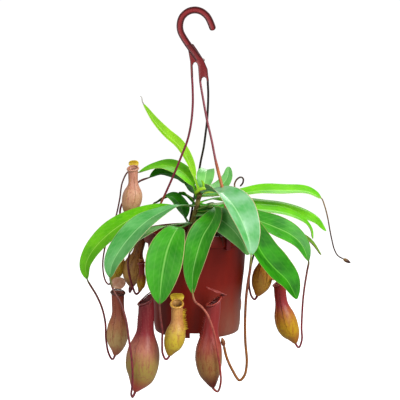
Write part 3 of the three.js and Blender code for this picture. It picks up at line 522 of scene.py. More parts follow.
def makeHook():
    h = hookParts
    line = Line(h["line"])
    a, d, f, w = h["width"] / 2, h["depth"] / 2, h["flange"], h["web"]
    section = [(-d, -a), (d, -a), (d, -a + f), (w, -a + f + 0.8), (w, a - f - 0.8), (d, a - f),
               (d, a), (-d, a), (-d, a - f), (-w, a - f - 0.8), (-w, -a + f + 0.8), (-d, -a + f)]
    sides, rows = len(section), 110

    def place(u, v):
        corner = section[round(u * sides) % sides]
        along = line.along(v)
        flat = along.cross(Vector((0, 1, 0))).normalized()
        nose = min(1, v * line.length / a)
        ends = math.sqrt(nose * (2 - nose)) if v < 1 else 0  # the hook's tip is round
        return line.at(v) + (flat * corner[1] + Vector((0, 1, 0)) * corner[0]) * ends

    bar = laid("hookBar", sides, rows, place, ribbedPlastic, closed=True)
    applied(bar, "BEVEL", width=0.5 * mm, segments=3, limit_method="ANGLE", angle_limit=math.radians(40))
    half = h["forkDepth"] / 2
    # the fork's border and sides take the darker edge finish, painted shade
    fork = plate([(x, half, z) for x, z in h["fork"]], Vector((0, -2 * half, 0)), 0.3, hangerPlastic, (0.8, 0.4),
                 hangerShadedEdge)
    # the stub that the moulding gate left on the fork's shoulder
    gate = rod("gate", Line([(6.2, 0, -59), (8.4, -0.4, -59.4), (10.4, -0.6, -60.4)], 6),
               lambda t: 1.5 - 0.3 * math.sin(t * 9), gateMark, 9, 0.5)
    hook = joined([bar, fork, gate], "hangerHook")
    bpy.ops.object.shade_smooth_by_angle(angle=math.radians(35))
    standFor(hook, "hook")


makeHook()

# Strands: round cords of plastic, each with a clip under the rim band
strandParts = {
    "strand_left": (155, [(-6.5, 0, -77), (-6.4, 0, -81.6), (-5.6, 2, -97), (-5.5, 4, -118), (-8, 6, -144),
                          (-13, 9, -166),
                          (-20, 12, -184), (-28, 15, -204), (-43, 21, -238), (-56, 27, -265)], leftPlastic),
    "strand_front": (-56, [(4.1, 0, -83), (4.35, 0, -87.8), (8, -5, -110), (13, -14, -137), (19, -23, -163),
                           (23.5, -30, -186),
                           (28, -30, -205), (33.5, -33, -227), (38, -43, -253)], frontPlastic),
    "strand_back": (98, [(14, 0, -83), (14.1, 0, -87.8), (14.8, 6, -105), (13.5, 19, -138), (11.5, 26, -156),
                         (9, 33, -175),
                         (5, 41, -195), (1, 50, -219), (-5, 62, -252)], backShadedPlastic),
}
potParts = {
    "rimTop": -282, "rimBand": 15, "rimRadius": 70, "wallUnderRim": 65.3, "footRadius": 56,
    "footBottom": -416, "footHeight": 7, "plastic": 1.8, "firstNotch": -93, "notchWidth": 12.4,
}

strandFeel = {"radius": 1.5, "swell": 0.35, "frontThicker": 0.6, "clipWide": 7, "clipThick": 2.4, "barb": 0.6}


def makeStrands():
    s = strandFeel
    rimTop, ledge = potParts["rimTop"], potParts["rimTop"] - potParts["rimBand"]
    inner = potParts["rimRadius"] + 0.3
    outer = inner + s["clipThick"]
    barb = potParts["wallUnderRim"] + s["barb"]
    outline = [(inner, rimTop + 2), (outer, rimTop + 2), (outer, ledge - 3.6), (barb, ledge - 2.4),
               (barb, ledge - 0.3), (inner, ledge - 0.3)]
    for node, (turn, points, finish) in strandParts.items():
        angle = math.radians(turn)
        out, side = Vector((math.cos(angle), math.sin(angle), 0)), Vector((-math.sin(angle), math.cos(angle), 0))
        seat = out * (inner + 1.5) + up * (rimTop + 1)
        thick = s["frontThicker"] if node == "strand_front" else 0
        cord = rod(node + "Cord", Line(points + [seat]),
                   lambda t: s["radius"] + thick * smooth(t, 0.48, 0.6) + s["swell"] * smooth(t, 0.9, 1), finish, 14)
        # the back strand's clip takes the same painted shade
        clip = plate([out * r + up * z - side * (s["clipWide"] / 2) for r, z in outline], side * s["clipWide"], 0.5,
                     backShadedPlastic if node == "strand_back" else hangerPlastic)
        standFor(joined([cord, clip], "hanger_" + node), node)


makeStrands()
print("hanger made")


# Turned by hand: a ring is drawn out and scaled from one profile point to the next
def turned(name, profile, around, finish):
    bpy.ops.object.select_all(action="DESELECT")
    radius, height = profile[0]
    bpy.ops.mesh.primitive_circle_add(vertices=around, radius=radius * mm, location=(0, 0, height * mm),
                                      fill_type="NGON")
    bpy.ops.object.transform_apply(location=True)
    piece = bpy.context.object
    piece.name = piece.data.name = name
    bpy.ops.object.mode_set(mode="EDIT")
    bpy.ops.mesh.select_all(action="SELECT")
    bpy.ops.mesh.select_mode(type="EDGE")
    for (r0, z0), (r1, z1) in zip(profile, profile[1:]):
        bpy.ops.mesh.extrude_region_move(TRANSFORM_OT_translate={"value": (0, 0, (z1 - z0) * mm)})
        bpy.ops.transform.resize(value=(r1 / r0, r1 / r0, 1), center_override=(0, 0, z1 * mm))
    bpy.ops.mesh.edge_face_add()
    bpy.ops.mesh.select_all(action="SELECT")
    bpy.ops.mesh.remove_doubles(threshold=0.00001)
    bpy.ops.mesh.normals_make_consistent(inside=False)
    bpy.ops.object.mode_set(mode="OBJECT")
    piece.data.materials.append(finish)
    return piece


def cutBy(piece, tools):
    for tool in tools:
        applied(piece, "BOOLEAN", object=tool, operation="DIFFERENCE", solver="EXACT")
        bpy.data.objects.remove(tool)


def makePot():
    p = potParts
    under = p["footBottom"] + p["footHeight"]
    floor = under + 2.4
    top, band, wall, thick = p["rimTop"], p["rimBand"], p["wallUnderRim"], p["plastic"]
    profile = [(51.5, under), (52, under - 0.6), (52.5, p["footBottom"] + 0.4), (53, p["footBottom"]),
               (55.4, p["footBottom"]), (p["footRadius"], p["footBottom"] + 0.6), (57.2, -409), (57.7, -401),
               (58.4, -376), (60.5, -355), (62.7, -335), (wall - 0.2, top - band - 0.8), (wall + 0.2, top - band),
               (69, top - band), (69.7, top - band + 0.5), (70, top - band + 1.5), (70, top - 1.4),
               (69.6, top - 0.4), (68.8, top), (67, top), (66.5, top - 0.6), (wall - thick, top - 9),
               (62.7 - thick, -335), (58.4 - thick, -376), (57.5 - thick, -401), (55, floor + 1), (53.6, floor),
               (26, floor), (0.6, floor)]
    pot = turned("potShell", profile, 120, potFinish())
    tools = []
    for i in range(4):
        angle = math.radians(p["firstNotch"] + 90 * i)
        bpy.ops.mesh.primitive_cube_add(size=1,
                                        location=(54.5 * mm * math.cos(angle), 54.5 * mm * math.sin(angle),
                                                  (p["footBottom"] + 2.3) * mm),
                                        rotation=(0, 0, angle), scale=(14 * mm, p["notchWidth"] * mm, 9 * mm))
        tools.append(bpy.context.object)
        hole = angle + math.pi / 4
        bpy.ops.mesh.primitive_cylinder_add(vertices=24, radius=4.5 * mm, depth=12 * mm,
                                            location=(30 * mm * math.cos(hole), 30 * mm * math.sin(hole), under * mm))
        tools.append(bpy.context.object)
    cutBy(pot, tools)
    applied(pot, "BEVEL", width=0.3 * mm, segments=2, limit_method="ANGLE", angle_limit=math.radians(50))
    bpy.ops.object.shade_smooth_by_angle(angle=math.radians(35))
    standFor(pot, "pot")


makePot()

# Soil: heaped a little, with chips of bark and stems of old moss on it
soilParts = {"top": -294, "radius": 62.6, "heap": 2.6, "chips": 260, "chipSize": (2.0, 5.4),
             "roots": 16, "rootsFrom": -66, "rootsTo": -26, "rimChips": 34}
stemParts = {"foot": Vector((-15.5, 0, -307)), "top": Vector((5.5, 0, -229)), "radius": 3.2}


def makeSoil():
    s = soilParts
    profile = [(50, -404), (55.2, -400), (56.2, -376), (60.4, -335), (s["radius"], s["top"] - 3),
               (61, s["top"] - 1.2)]
    profile += [(r, s["top"] + s["heap"] * (1 - (r / 61) ** 2)) for r in range(58, 1, -4)] + [(0.5,
        s["top"] + s["heap"])]
    soil = turned("soilFill", profile, 96, soilMix)
    lumps = bpy.data.textures.new("lumps", "CLOUDS")
    lumps.noise_scale = 5 * mm
    applied(soil, "DISPLACE", texture=lumps, strength=2.4 * mm, mid_level=0.75, texture_coords="LOCAL")
    bpy.ops.object.shade_smooth()
    pieces = [soil]
    # three broken chips, then copies of them all over the top
    models = []
    for i in range(3):
        bpy.ops.mesh.primitive_ico_sphere_add(subdivisions=2, radius=1)
        model = bpy.context.object
        for vertex in model.data.vertices:
            vertex.co *= random.uniform(0.72, 1.12)
            vertex.co.y *= 0.62
            vertex.co.z *= 0.4
        model.data.materials.append(barkChip)
        models.append(model)
    for i in range(s["chips"]):
        r, turn = 60 * math.sqrt(random.random()), random.random() * 2 * math.pi
        spot = Vector((r * math.cos(turn), r * math.sin(turn), 0))
        if (spot - Vector((-12, 0, 0))).length < 6:
            continue
        spot.z = s["top"] + s["heap"] * (1 - (r / 61) ** 2) + random.uniform(-0.6, 1.0)
        size = random.uniform(*s["chipSize"]) / 2
        tilt = Euler((random.uniform(-0.5, 0.5), random.uniform(-0.5, 0.5), random.uniform(0, 6.3)))
        chip = models[i % 3].copy()
        chip.data = models[i % 3].data.copy()
        bpy.context.collection.objects.link(chip)
        for vertex in chip.data.vertices:
            vertex.co = (tilt.to_matrix() @ (vertex.co * size) + spot) * mm
        pieces.append(chip)
    # bits that have been washed on to the rim, among the roots
    for i in range(s["rimChips"]):
        turn = math.radians(random.uniform(s["rootsFrom"], s["rootsTo"]))
        r = random.uniform(58, 68.5)
        spot = Vector((r * math.cos(turn), r * math.sin(turn), -292 + 10.6 * smooth(r, 58, 66)))
        chip = models[i % 3].copy()
        chip.data = models[i % 3].data.copy()
        bpy.context.collection.objects.link(chip)
        tilt = Euler((random.uniform(-0.5, 0.5), random.uniform(-0.5, 0.5), random.uniform(0, 6.3)))
        size = random.uniform(*s["chipSize"]) / 2
        for vertex in chip.data.vertices:
            vertex.co = (tilt.to_matrix() @ (vertex.co * size) + spot) * mm
        chip.data.materials[0] = darkBark
        pieces.append(chip)
    for model in models:
        bpy.data.objects.remove(model)
    # fine dead roots that lie over the rim at the front right
    for i in range(s["roots"]):
        turn = math.radians(s["rootsFrom"] + (s["rootsTo"] - s["rootsFrom"]) * (i + random.uniform(-0.3,
            0.3)) / s["roots"])
        out = Vector((math.cos(turn), math.sin(turn), 0))
        side = Vector((-out.y, out.x, 0))
        drop = random.uniform(3, 13)
        points = [out * 58 + up * -291, out * 65 + up * -284 + side * random.uniform(-2, 2),
                  out * 68.5 + up * -281.2 + side * random.uniform(-3, 3),
                  out * 71 + up * -283 + side * random.uniform(-3, 3),
                  out * 71.2 + up * (-283 - drop) + side * random.uniform(-5, 5)]
        pieces.append(rod("root", Line(points, 8), lambda t: 0.55 - 0.25 * t, darkBark, 6, 2))
    standFor(joined(pieces, "soilSurface"), "soil")


makeSoil()
stemLine = Line([tuple(stemParts["foot"]), tuple(stemParts["foot"].lerp(stemParts["top"], 0.5)),
                 tuple(stemParts["top"])])
stem = rod("plantStem", stemLine, lambda t: stemParts["radius"] * (0.93 + 0.09 * abs(math.sin(t * 19))), stemBark, 20,
           0.9)
# new growth rolled round the stem's top, and the brown ring that it leaves
growth = [([(2, 3, -233), (-1.5, -1.5, -234), (1, -4.5, -231), (6, -5, -228), (11, -3.5, -228.5), (14, 0, -232)], 2.6,
           "yellow"),
          ([(5, -3, -232), (9, 1, -228), (8.5, 5, -222), (6, 7, -217)], 2.2, "lime")]
pieces = [stem]
for points, thick, skin in growth:
    pieces.append(rod("newGrowth", Line(points), lambda t: thick * math.sin(math.pi * (0.12 + 0.84 * t)) ** 0.7,
                      leafSkins[skin], 14, 0.8))
ring = Line([(0.2, -3.4, -240), (3.4, -2.8, -238.6), (5.6, 0, -238)])
pieces.append(rod("ring", ring, lambda t: 1.4, barkChip, 10, 0.8))
standFor(joined(pieces, "plantStem"), "stem")
print("pot, soil and stem made")

# Leaves: node is the height and the bearing where the stalk leaves the stem, rib the line to
# the tip, face the way the upper side looks near the stem and at the tip, fold in degrees. peak is
# where the blade is widest, blunt rounds its lower end and tip its far end the more the smaller it is
leafParts = {
    "leaf_upper_left": dict(node=(-233, 130),
                            rib=[(-4, 16, -213), (-12, 26, -193), (-25, 31, -173), (-42, 34, -158), (-58, 37, -140),
                                 (-72, 39, -118)],
                            width=17, face=((0.5, -0.7, 0.5), (0.5, -0.75, 0.45)), fold=28, ripple=0, peak=0.45,
                            skin="lime"),
    # its bright skin paints light on its upper side, which the lamps leave in shade
    "leaf_left_arching": dict(node=(-238, 138),
                              rib=[(-8, 17, -220), (-22, 29, -207), (-39, 37, -201), (-60, 41, -203),
                                   (-79, 42, -210)],
                              width=29, face=((-0.1, -0.3, 0.95), (-0.3, -0.35, 0.9)), peak=0.5, blunt=0.6,
                              skin="fresh"),
    "leaf_left_behind": dict(node=(-243, 118),
                             rib=[(-6, 28, -231), (-14, 42, -221), (-29, 48.5, -213), (-51, 54, -211),
                                  (-65, 56, -218)],
                             width=34, face=((-0.2, 0.7, 0.7), (-0.3, 0.6, 0.7)), peak=0.5, skin="dark"),
    "leaf_shaded_left": dict(node=(-248, 178), rib=[(-8, 5, -243), (-14, 11, -238), (-24, 20, -236)],
                             width=20, face=((0, 0.5, 0.85), (0, 0.4, 0.9)), stalk=0.05, skin="dark"),
    "leaf_back_left": dict(node=(-277, 140), rib=[(-17, 12, -265), (-25, 29, -250), (-36, 37, -242), (-59, 48, -253)],
                           width=28, face=((0.6, -0.2, 0.7), (-0.3, -0.1, 0.95)), skin="dark"),
    "leaf_left_far": dict(node=(-251, 162), rib=[(-28, 11, -252), (-52, 12, -256), (-76, 10, -264), (-101, 7, -277),
                                                 (-123, 4, -294), (-140, 2, -313), (-148, 0, -331), (-146, -2, -349)],
                          width=34, face=((-0.2, -0.5, 0.85), (-0.6, -0.75, 0.3)), peak=0.55, blunt=0.62, tip=0.62,
                          skin="fresh"),
    "leaf_left_near": dict(node=(-250, -150),
                           rib=[(-24, -20, -248), (-44, -37, -254), (-62, -52, -263), (-79, -64, -277),
                                (-95, -72, -296), (-106, -77, -315), (-109, -79, -332)],
                           width=38, face=((-0.2, -0.3, 0.9), (-0.45, -0.75, 0.4)), peak=0.56, blunt=0.6, tip=0.62,
                           skin="gloss"),
    "leaf_left_low": dict(node=(-273, -160), rib=[(-32, -24, -273), (-50, -44, -275), (-66, -54, -281),
                                                  (-79, -50, -293), (-86, -46, -306)],
                          width=26, face=((-0.1, -0.22, 0.95), (-0.6, -0.3, 0.75)), stalk=0.4, skin="pale"),
    "leaf_front_left": dict(node=(-273, -110),
                            rib=[(-17, -36, -273), (-26, -66, -274), (-36, -84, -294), (-41, -92, -315),
                                 (-44, -97, -335), (-46, -100, -361)],
                            width=47, face=((0, -0.35, 1), (-0.1, -1, 0.15)), stalk=0.34, peak=0.5, blunt=0.62,
                            tip=0.72, skin="middle"),
    "leaf_front": dict(node=(-256, -55), rib=[(18, -28, -247), (24, -50, -251), (18, -70, -264), (8, -81, -279),
                                              (0, -89, -302), (-5, -92, -326), (-5, -94, -349)],
                       width=35, face=((-0.2, -0.3, 0.9), (-0.3, -0.95, 0.1)), fold=22, stalk=0.28, peak=0.46,
                       blunt=0.75, skin="middle"),
    # its pale blue-green skin is painted sheen
    "leaf_front_right": dict(node=(-233, -80),
                             rib=[(16, -28, -227), (31, -53, -229), (46, -73, -243), (58, -87, -265), (65, -95, -287),
                                  (67, -97, -301)],
                             width=46, face=((0.35, -0.3, 0.9), (0.5, -0.8, 0.35)), fold=27, stalk=0.16, peak=0.48,
                             blunt=0.55, tip=0.7, skin="bloom"),
    # its pale skin paints light on this leaf, which lies in the shadow of leaf_front_right
    "leaf_low_right": dict(node=(-263, -45), rib=[(21, -42, -259), (35, -67, -264), (48, -76, -275), (58, -80, -289),
                                                  (64, -82, -303)],
                           width=34, face=((-0.1, -0.7, 0.75), (-0.15, -0.9, 0.45)), skin="pale"),
    "leaf_right_drooping": dict(node=(-259, -15),
                                rib=[(40, -12, -256), (63, -27, -271), (75, -36, -292), (86, -42, -311),
                                     (100, -46, -327), (116, -50, -342), (128, -54, -365)],
                                width=48, fold=22, face=((0.2, -0.2, 0.95), (0.55, -0.8, 0.35)), peak=0.6, blunt=0.6,
                                tip=0.72, skin="dark"),
    "leaf_right_mid": dict(node=(-249, 8), rib=[(50, 8, -256), (81, 6, -271), (104, 4, -280), (125, 2, -290),
                                                (139, -1, -303), (148, -4, -324)],
                           width=38, face=((0, -0.45, 0.9), (0.4, -0.7, 0.55)), peak=0.56, blunt=0.6, tip=0.75,
                           skin="middle"),
    "leaf_right_long": dict(node=(-238, 40), rib=[(34, 20, -238), (58, 26, -237), (85, 31, -234), (119, 36, -234),
                                                  (150, 38, -236), (169, 40, -245)],
                            width=29, face=((0, -0.32, 0.94), (0.3, -0.35, 0.87)), peak=0.6, blunt=0.34, tip=0.34,
                            skin="fresh"),
    "leaf_right_back": dict(node=(-246, 68), rib=[(28, 38, -244), (58, 48, -246), (89, 54, -250), (119, 57, -254),
                                                  (147, 59, -263), (168, 60, -275), (179, 60, -293)],
                            width=30, face=((0, -0.35, 0.95), (0.5, -0.4, 0.75)), fold=-24, peak=0.6, blunt=0.5,
                            tip=0.6, skin="fresh"),
    "leaf_right_inner": dict(node=(-253, 22),
                             rib=[(34, 20, -254), (58, 25, -257), (96, 29, -260), (126, 33, -266), (146, 36, -276),
                                  (155, 38, -287), (158, 39, -301)],
                             width=24, face=((0, -0.3, 0.95), (0.5, -0.35, 0.75)), skin="fresh"),
    "leaf_back_right": dict(node=(-254, 58), rib=[(34, 40, -257), (56, 60, -260), (80, 70, -267), (91, 76, -280)],
                            width=24, face=((0, -0.2, 0.95), (0.5, -0.2, 0.8)), skin="yellow"),
    "leaf_right_olive": dict(node=(-264, 15),
                             rib=[(34, 16, -265), (64, 22, -272), (98, 25, -281), (132, 27, -291), (154, 29, -303),
                                  (169, 31, -322)],
                             width=20, face=((0, -0.3, 0.95), (0.5, -0.3, 0.8)), skin="olive"),
    "leaf_centre_pale": dict(node=(-233, 60), rib=[(10, 16, -221), (12, 27, -210), (14, 40, -206), (15, 54, -210)],
                             width=24, face=((0, -0.9, 0.3), (0, -0.1, 1)), stalk=0.05, skin="pale"),
    "leaf_upright": dict(node=(-240, 95), rib=[(14, 26, -237), (32, 35, -228), (41, 38, -216), (43, 40, -202)],
                         width=18, face=((-0.3, -0.8, 0.4), (0, -1, 0.1)), blunt=0.6, tip=0.5, skin="pale"),
    "leaf_young": dict(node=(-234, 5), rib=[(22, 6, -232), (34, 10, -230), (46, 13, -232)],
                       width=9, face=((0, -0.4, 0.9), (0, -0.4, 0.9)), skin="yellow"),
    "leaf_far_left": dict(node=(-259, 100), rib=[(6, 26, -254), (14, 46, -254), (11, 72, -268), (0, 92, -295),
                                                 (-16, 100, -327), (-24, 102, -349)],
                          width=28, face=((0, 0.2, 0.95), (-0.1, 0.95, 0.2)), skin="bright"),
    "leaf_far_middle": dict(node=(-267, 78), rib=[(14, 24, -267), (30, 45, -268), (42, 68, -273), (44, 90, -301),
                                                  (36, 101, -335), (30, 104, -355)],
                            width=28, face=((0.1, 0.2, 0.95), (0.1, 0.95, 0.2)), skin="middle"),
    "leaf_far_right": dict(node=(-273, 40), rib=[(14, 15, -273), (44, 38, -273), (68, 56, -281), (82, 68, -307),
                                                 (86, 72, -337)],
                           width=30, face=((0.2, 0.2, 0.95), (0.7, 0.6, 0.2)), skin="dark"),
}
bladeFeel = {"thickness": 0.7, "stalkHalf": 1.7, "tipHalf": 1.2, "ripple": 0.7, "clasp": 1.8, "across": 12,
             "rows": 44,
             "peak": 0.46, "blunt": 0.7}


def onStem(height, bearing):
    foot, top = stemParts["foot"], stemParts["top"]
    turn = math.radians(bearing)
    out = stemParts["radius"] - 0.4
    return foot.lerp(top, (height - foot.z) / (top.z - foot.z)) + Vector((math.cos(turn), math.sin(turn), 0)) * out


def bladeShape(line, width, face, fold=12, stalk=0.16, ripple=0, phase=0, peak=None, blunt=None, tip=0.8, clasp=0,
               lower=0):
    lift = math.tan(math.radians(fold))
    first, last = (Vector(f) for f in face)
    power = math.log(0.5) / math.log(peak or bladeFeel["peak"])
    blunt = blunt or bladeFeel["blunt"]

    def place(u, v):
        s = 2 * u - 1
        x = max(0, (v - stalk) / (1 - stalk))
        shape = blunt if x ** power < 0.5 else tip
        blade = math.sin(math.pi * x ** power) ** shape if 0 < x < 0.9999 else 0
        slim = bladeFeel["stalkHalf"] + (bladeFeel["tipHalf"] - bladeFeel["stalkHalf"]) * v
        slim += clasp * math.exp(-(v * line.length / 7) ** 2)
        half = slim + (width / 2 - slim) * blade
        along = line.along(v)
        above = first.lerp(last, v)
        above = (above - along * above.dot(along)).normalized()
        across = along.cross(above)
        wave = ripple * blade * abs(s) ** 3 * math.sin(v * 17 + phase + (1.6 if s > 0 else 0))
        channel = -0.35 * math.exp(-(s / 0.09) ** 2) - lower
        return line.at(v) + across * s * half + above * (abs(s) ** 1.32 * half * lift + wave + channel)

    return place


def makeLeaves():
    for number, (node, leaf) in enumerate(leafParts.items()):
        line = Line([tuple(onStem(*leaf["node"]))] + leaf["rib"])
        look = {key: leaf[key] for key in ("fold", "stalk", "peak", "blunt", "tip") if key in leaf}
        look["clasp"] = bladeFeel["clasp"]
        ripple = leaf.get("ripple", bladeFeel["ripple"])
        shape = bladeShape(line, leaf["width"], leaf["face"], ripple=ripple, phase=number * 1.7, **look)
        blade = laid(node + "Blade", bladeFeel["across"], bladeFeel["rows"], shape, leafSkins[leaf["skin"]])
        applied(blade, "SOLIDIFY", thickness=bladeFeel["thickness"] * mm, offset=0)
        applied(blade, "SUBSURF", levels=1, render_levels=1)
        bpy.ops.object.shade_smooth()
        # the midrib stands out below the blade
        below = bladeShape(line, leaf["width"], leaf["face"], lower=0.5, **look)
        keel = Line([tuple(below(0.5, v / 14)) for v in range(15)])
        pieces = [blade, rod(node + "Rib", keel, lambda t: 0.95 - 0.25 * t, leafSkins[leaf["skin"]], 8, 4)]
        if node == "leaf_upper_left":  # its tip has dried to a thread
            dried = Line([(-71.5, 39, -118.5), (-73.5, 39.2, -114), (-74.3, 39.4, -109), (-76.5, 39.4, -106.5)])
            pieces.append(rod("dried", dried, lambda t: 1.0 - 0.6 * t, driedSkin, 8, 0.8))
        standFor(joined(pieces, node + "_blade"), node)


makeLeaves()
print("leaves made")

# Pitchers: spine from the foot to the mouth, look the way that the mouth faces, lid its rib from
# the mouth's middle, rise how far the mouth climbs to the lid, wings the bearing of its two fringes
jugParts = {
    "pitcher_back_left": dict(spine=[(-96, 28, -266), (-93, 28, -258), (-88, 28, -246), (-86, 28, -230),
                                     (-86, 28, -214), (-86, 28, -204)],
                              belly=13.6, neck=6.6, mouth=7, look=(-0.1, -0.3, 1),
                              lid=[(0.4, 6.6, 1), (0.5, 8, 3.5), (0.4, 8, 7), (0.2, 6.5, 11)], lidWidth=14,
                              lidFace=(0, -1, 0.25), rise=2, skin="rose", lip="rose", lidSkin="yellow"),
    "pitcher_left": dict(spine=[(-111, 5, -455), (-108.5, 5, -446), (-107, 5, -424), (-105.5, 5, -402),
                                (-106, 5, -382), (-106, 5, -369)],
                         belly=14.6, neck=8.4, mouth=8.8, look=(0.1, -0.05, 1),
                         lid=[(0, 9, 2), (0, 11, 8), (0.5, 10, 14), (0.5, 8, 20)], lidWidth=19, lidFace=(0, -1, 0.3),
                         rise=3, skin="tan", lip="dark", lidSkin="tan"),
    "pitcher_left_big": dict(spine=[(-80, -60, -486), (-77.5, -60, -478), (-72, -60, -463), (-70, -60, -447),
                                    (-68, -60, -428), (-66, -60, -408), (-65, -60, -387), (-64, -60, -367)],
                             belly=21.4, neck=10.6, mouth=11, look=(-0.3, 0.02, 1),
                             lid=[(8, 7, 3), (13, 9, 9), (15, 7, 15), (14, 2, 21)], lidWidth=18,
                             lidFace=(-0.6, -0.5, 0.6), rise=9, skin="maroon", lip="maroon", lidSkin="maroon"),
    "pitcher_yellow": dict(spine=[(-35, -79, -433), (-33, -79, -425), (-28, -79, -410), (-25.5, -79, -394),
                                  (-25, -79, -379), (-25, -79, -366)],
                           belly=13, neck=7.2, mouth=7.4, look=(0, -0.45, 1),
                           lid=[(0, 7, 2), (0, 9, 5), (0, 9, 9), (0, 7, 12.5)], lidWidth=18, lidFace=(0, -0.9, 0.4),
                           rise=2, wings=(6, -22), hair=4.5, hairThick=1.6, wingFrom=0.48, skin="yellow",
                           lip="yellow", lidSkin="yellow"),
    "pitcher_front": dict(spine=[(21, -82, -474), (19, -82, -465), (16, -82, -450), (15, -82, -435), (16, -82, -418),
                                 (17.5, -82, -397), (20, -82, -379), (22, -82, -365)],
                          belly=16.8, neck=9.4, mouth=9.6, look=(-0.12, 0, 1),
                          lid=[(8.6, 2, 2.5), (13, 3, 9.5), (9.5, 2, 14), (0, 1, 18), (-10.5, 0, 22)], lidWidth=17,
                          lidFace=(-0.38, 0, 0.92), rise=9, skin="umber", lip="red", lidSkin="maroon"),
    "pitcher_right_near": dict(spine=[(80, 2, -373), (83, 2, -364), (86.5, 2, -350), (88.5, 2, -333), (90, 2, -317),
                                      (91, 2, -305)],
                               belly=13.6, neck=6.4, mouth=6.8, look=(0.1, 0.2, 1),
                               lid=[(0, 6.6, -1), (0, 8, 4), (0, 3, 9), (0, -5, 10)], lidWidth=13,
                               lidFace=(0, 0.1, 1), rise=2, skin="orange", lip="red", lidSkin="orange"),
    "pitcher_right": dict(spine=[(132, -5, -436), (128.5, -5, -426), (121, -5, -412), (117, -5, -400),
                                 (113.5, -5, -386), (111, -5, -371), (109.5, -5, -354)],
                          belly=14.6, neck=8.2, mouth=8.4, look=(-0.4, 0, 1),
                          lid=[(4, 6.5, 0), (3, 8, 6), (-4, 0, 9), (-11, -7, 6)], lidWidth=12,
                          lidFace=(-0.2, -0.2, 1), rise=2, skin="amber", lip="red", lidSkin="orange"),
    "pitcher_left_rear": dict(spine=[(-89, 32, -367), (-89, 32, -358), (-87, 32, -343), (-82, 32, -324),
                                     (-78, 32, -308), (-75, 32, -297)],
                              belly=14.6, neck=7, mouth=7.2, look=(0.3, 0, 1),
                              lid=[(0, 7, 0.5), (0, 9, 5), (0, 4, 9), (0, -4, 10)], lidWidth=14, lidFace=(0, 0, 1),
                              rise=2, skin="olive", lip="dark", lidSkin="tan"),
    "pitcher_left_hidden": dict(spine=[(-117, 35, -359), (-113, 35, -350), (-109, 35, -336), (-105, 35, -321),
                                       (-101.5, 35, -305)],
                                belly=11, neck=6, mouth=6.3, look=(0.2, 0, 1),
                                lid=[(-0.4, 6, 0.7), (-0.6, 8, 4), (-0.5, 3, 8), (-0.3, -4, 8)], lidWidth=11.2,
                                lidFace=(0, 0, 1), rise=2, skin="yellow", lip="yellow", lidSkin="yellow"),
    "pitcher_small": dict(spine=[(-76, -15, -363), (-74, -15, -355), (-73, -15, -345), (-72.5, -15, -334),
                                 (-73, -15, -325)],
                          belly=6, neck=3.6, mouth=4, look=(-0.2, 0, 1),
                          lid=[(0, 3.8, 0.5), (0, 5, 3), (0, 2, 5), (0, -3, 5)], lidWidth=8, lidFace=(0, 0, 1),
                          rise=1, skin="amber", lip="red", lidSkin="orange"),
    "pitcher_far_left": dict(spine=[(-28, 98, -441), (-24, 98, -433), (-19, 98, -417), (-17, 98, -399),
                                    (-16, 98, -383), (-16, 98, -369)],
                             belly=13.6, neck=7.6, mouth=8, look=(0, 0.3, 1),
                             lid=[(0, -7.6, 0.5), (0, -9, 5), (0, -5, 9), (0, 3, 11)], lidWidth=16, lidFace=(0, 0, 1),
                             rise=2.5, skin="tan", lip="dark", lidSkin="tan"),
    "pitcher_far_right": dict(spine=[(41, 97, -433), (45, 96, -424), (50, 94, -408), (53, 93, -391), (54, 92, -375),
                                     (54, 92, -363)],
                              belly=12.6, neck=7, mouth=7.4, look=(0, 0.3, 1),
                              lid=[(0, -7, 0.5), (0, -9, 5), (0, -5, 9), (0, 3, 11)], lidWidth=15, lidFace=(0, 0, 1),
                              rise=2.5, skin="maroon", lip="maroon", lidSkin="maroon"),
}
jugFeel = {"wall": 0.9, "lip": 1.35, "outsideShare": 0.72, "around": 36, "rows": 66, "wingTurn": 24,
           "wingFrom": 0.22, "wingTo": 0.93, "hair": 1.8, "foot": 1.9}


def girth(t, jug):
    stops = [(0, jugFeel["foot"]), (0.1, jug["belly"] * 0.52), (0.2, jug["belly"] * 0.84), (0.34, jug["belly"]),
             (0.5, jug["belly"] * 0.92),
             (0.68, jug["neck"] * 1.06), (0.86, jug["neck"]), (1, jug["mouth"])]
    lower = max(i for i, (stop, _) in enumerate(stops) if stop <= t or i == 0)
    lower = min(lower, len(stops) - 2)
    (t0, r0), (t1, r1) = stops[lower], stops[lower + 1]
    before = stops[max(lower - 1, 0)]
    after = stops[min(lower + 2, len(stops) - 1)]
    m0 = (r1 - before[1]) / (t1 - before[0]) * (t1 - t0)
    m1 = (after[1] - r0) / (after[0] - t0) * (t1 - t0)
    x = (t - t0) / (t1 - t0)
    return (r0 * (2 * x ** 3 - 3 * x ** 2 + 1) + r1 * (3 * x ** 2 - 2 * x ** 3)
            + m0 * (x ** 3 - 2 * x ** 2 + x) + m1 * (x ** 3 - x ** 2))


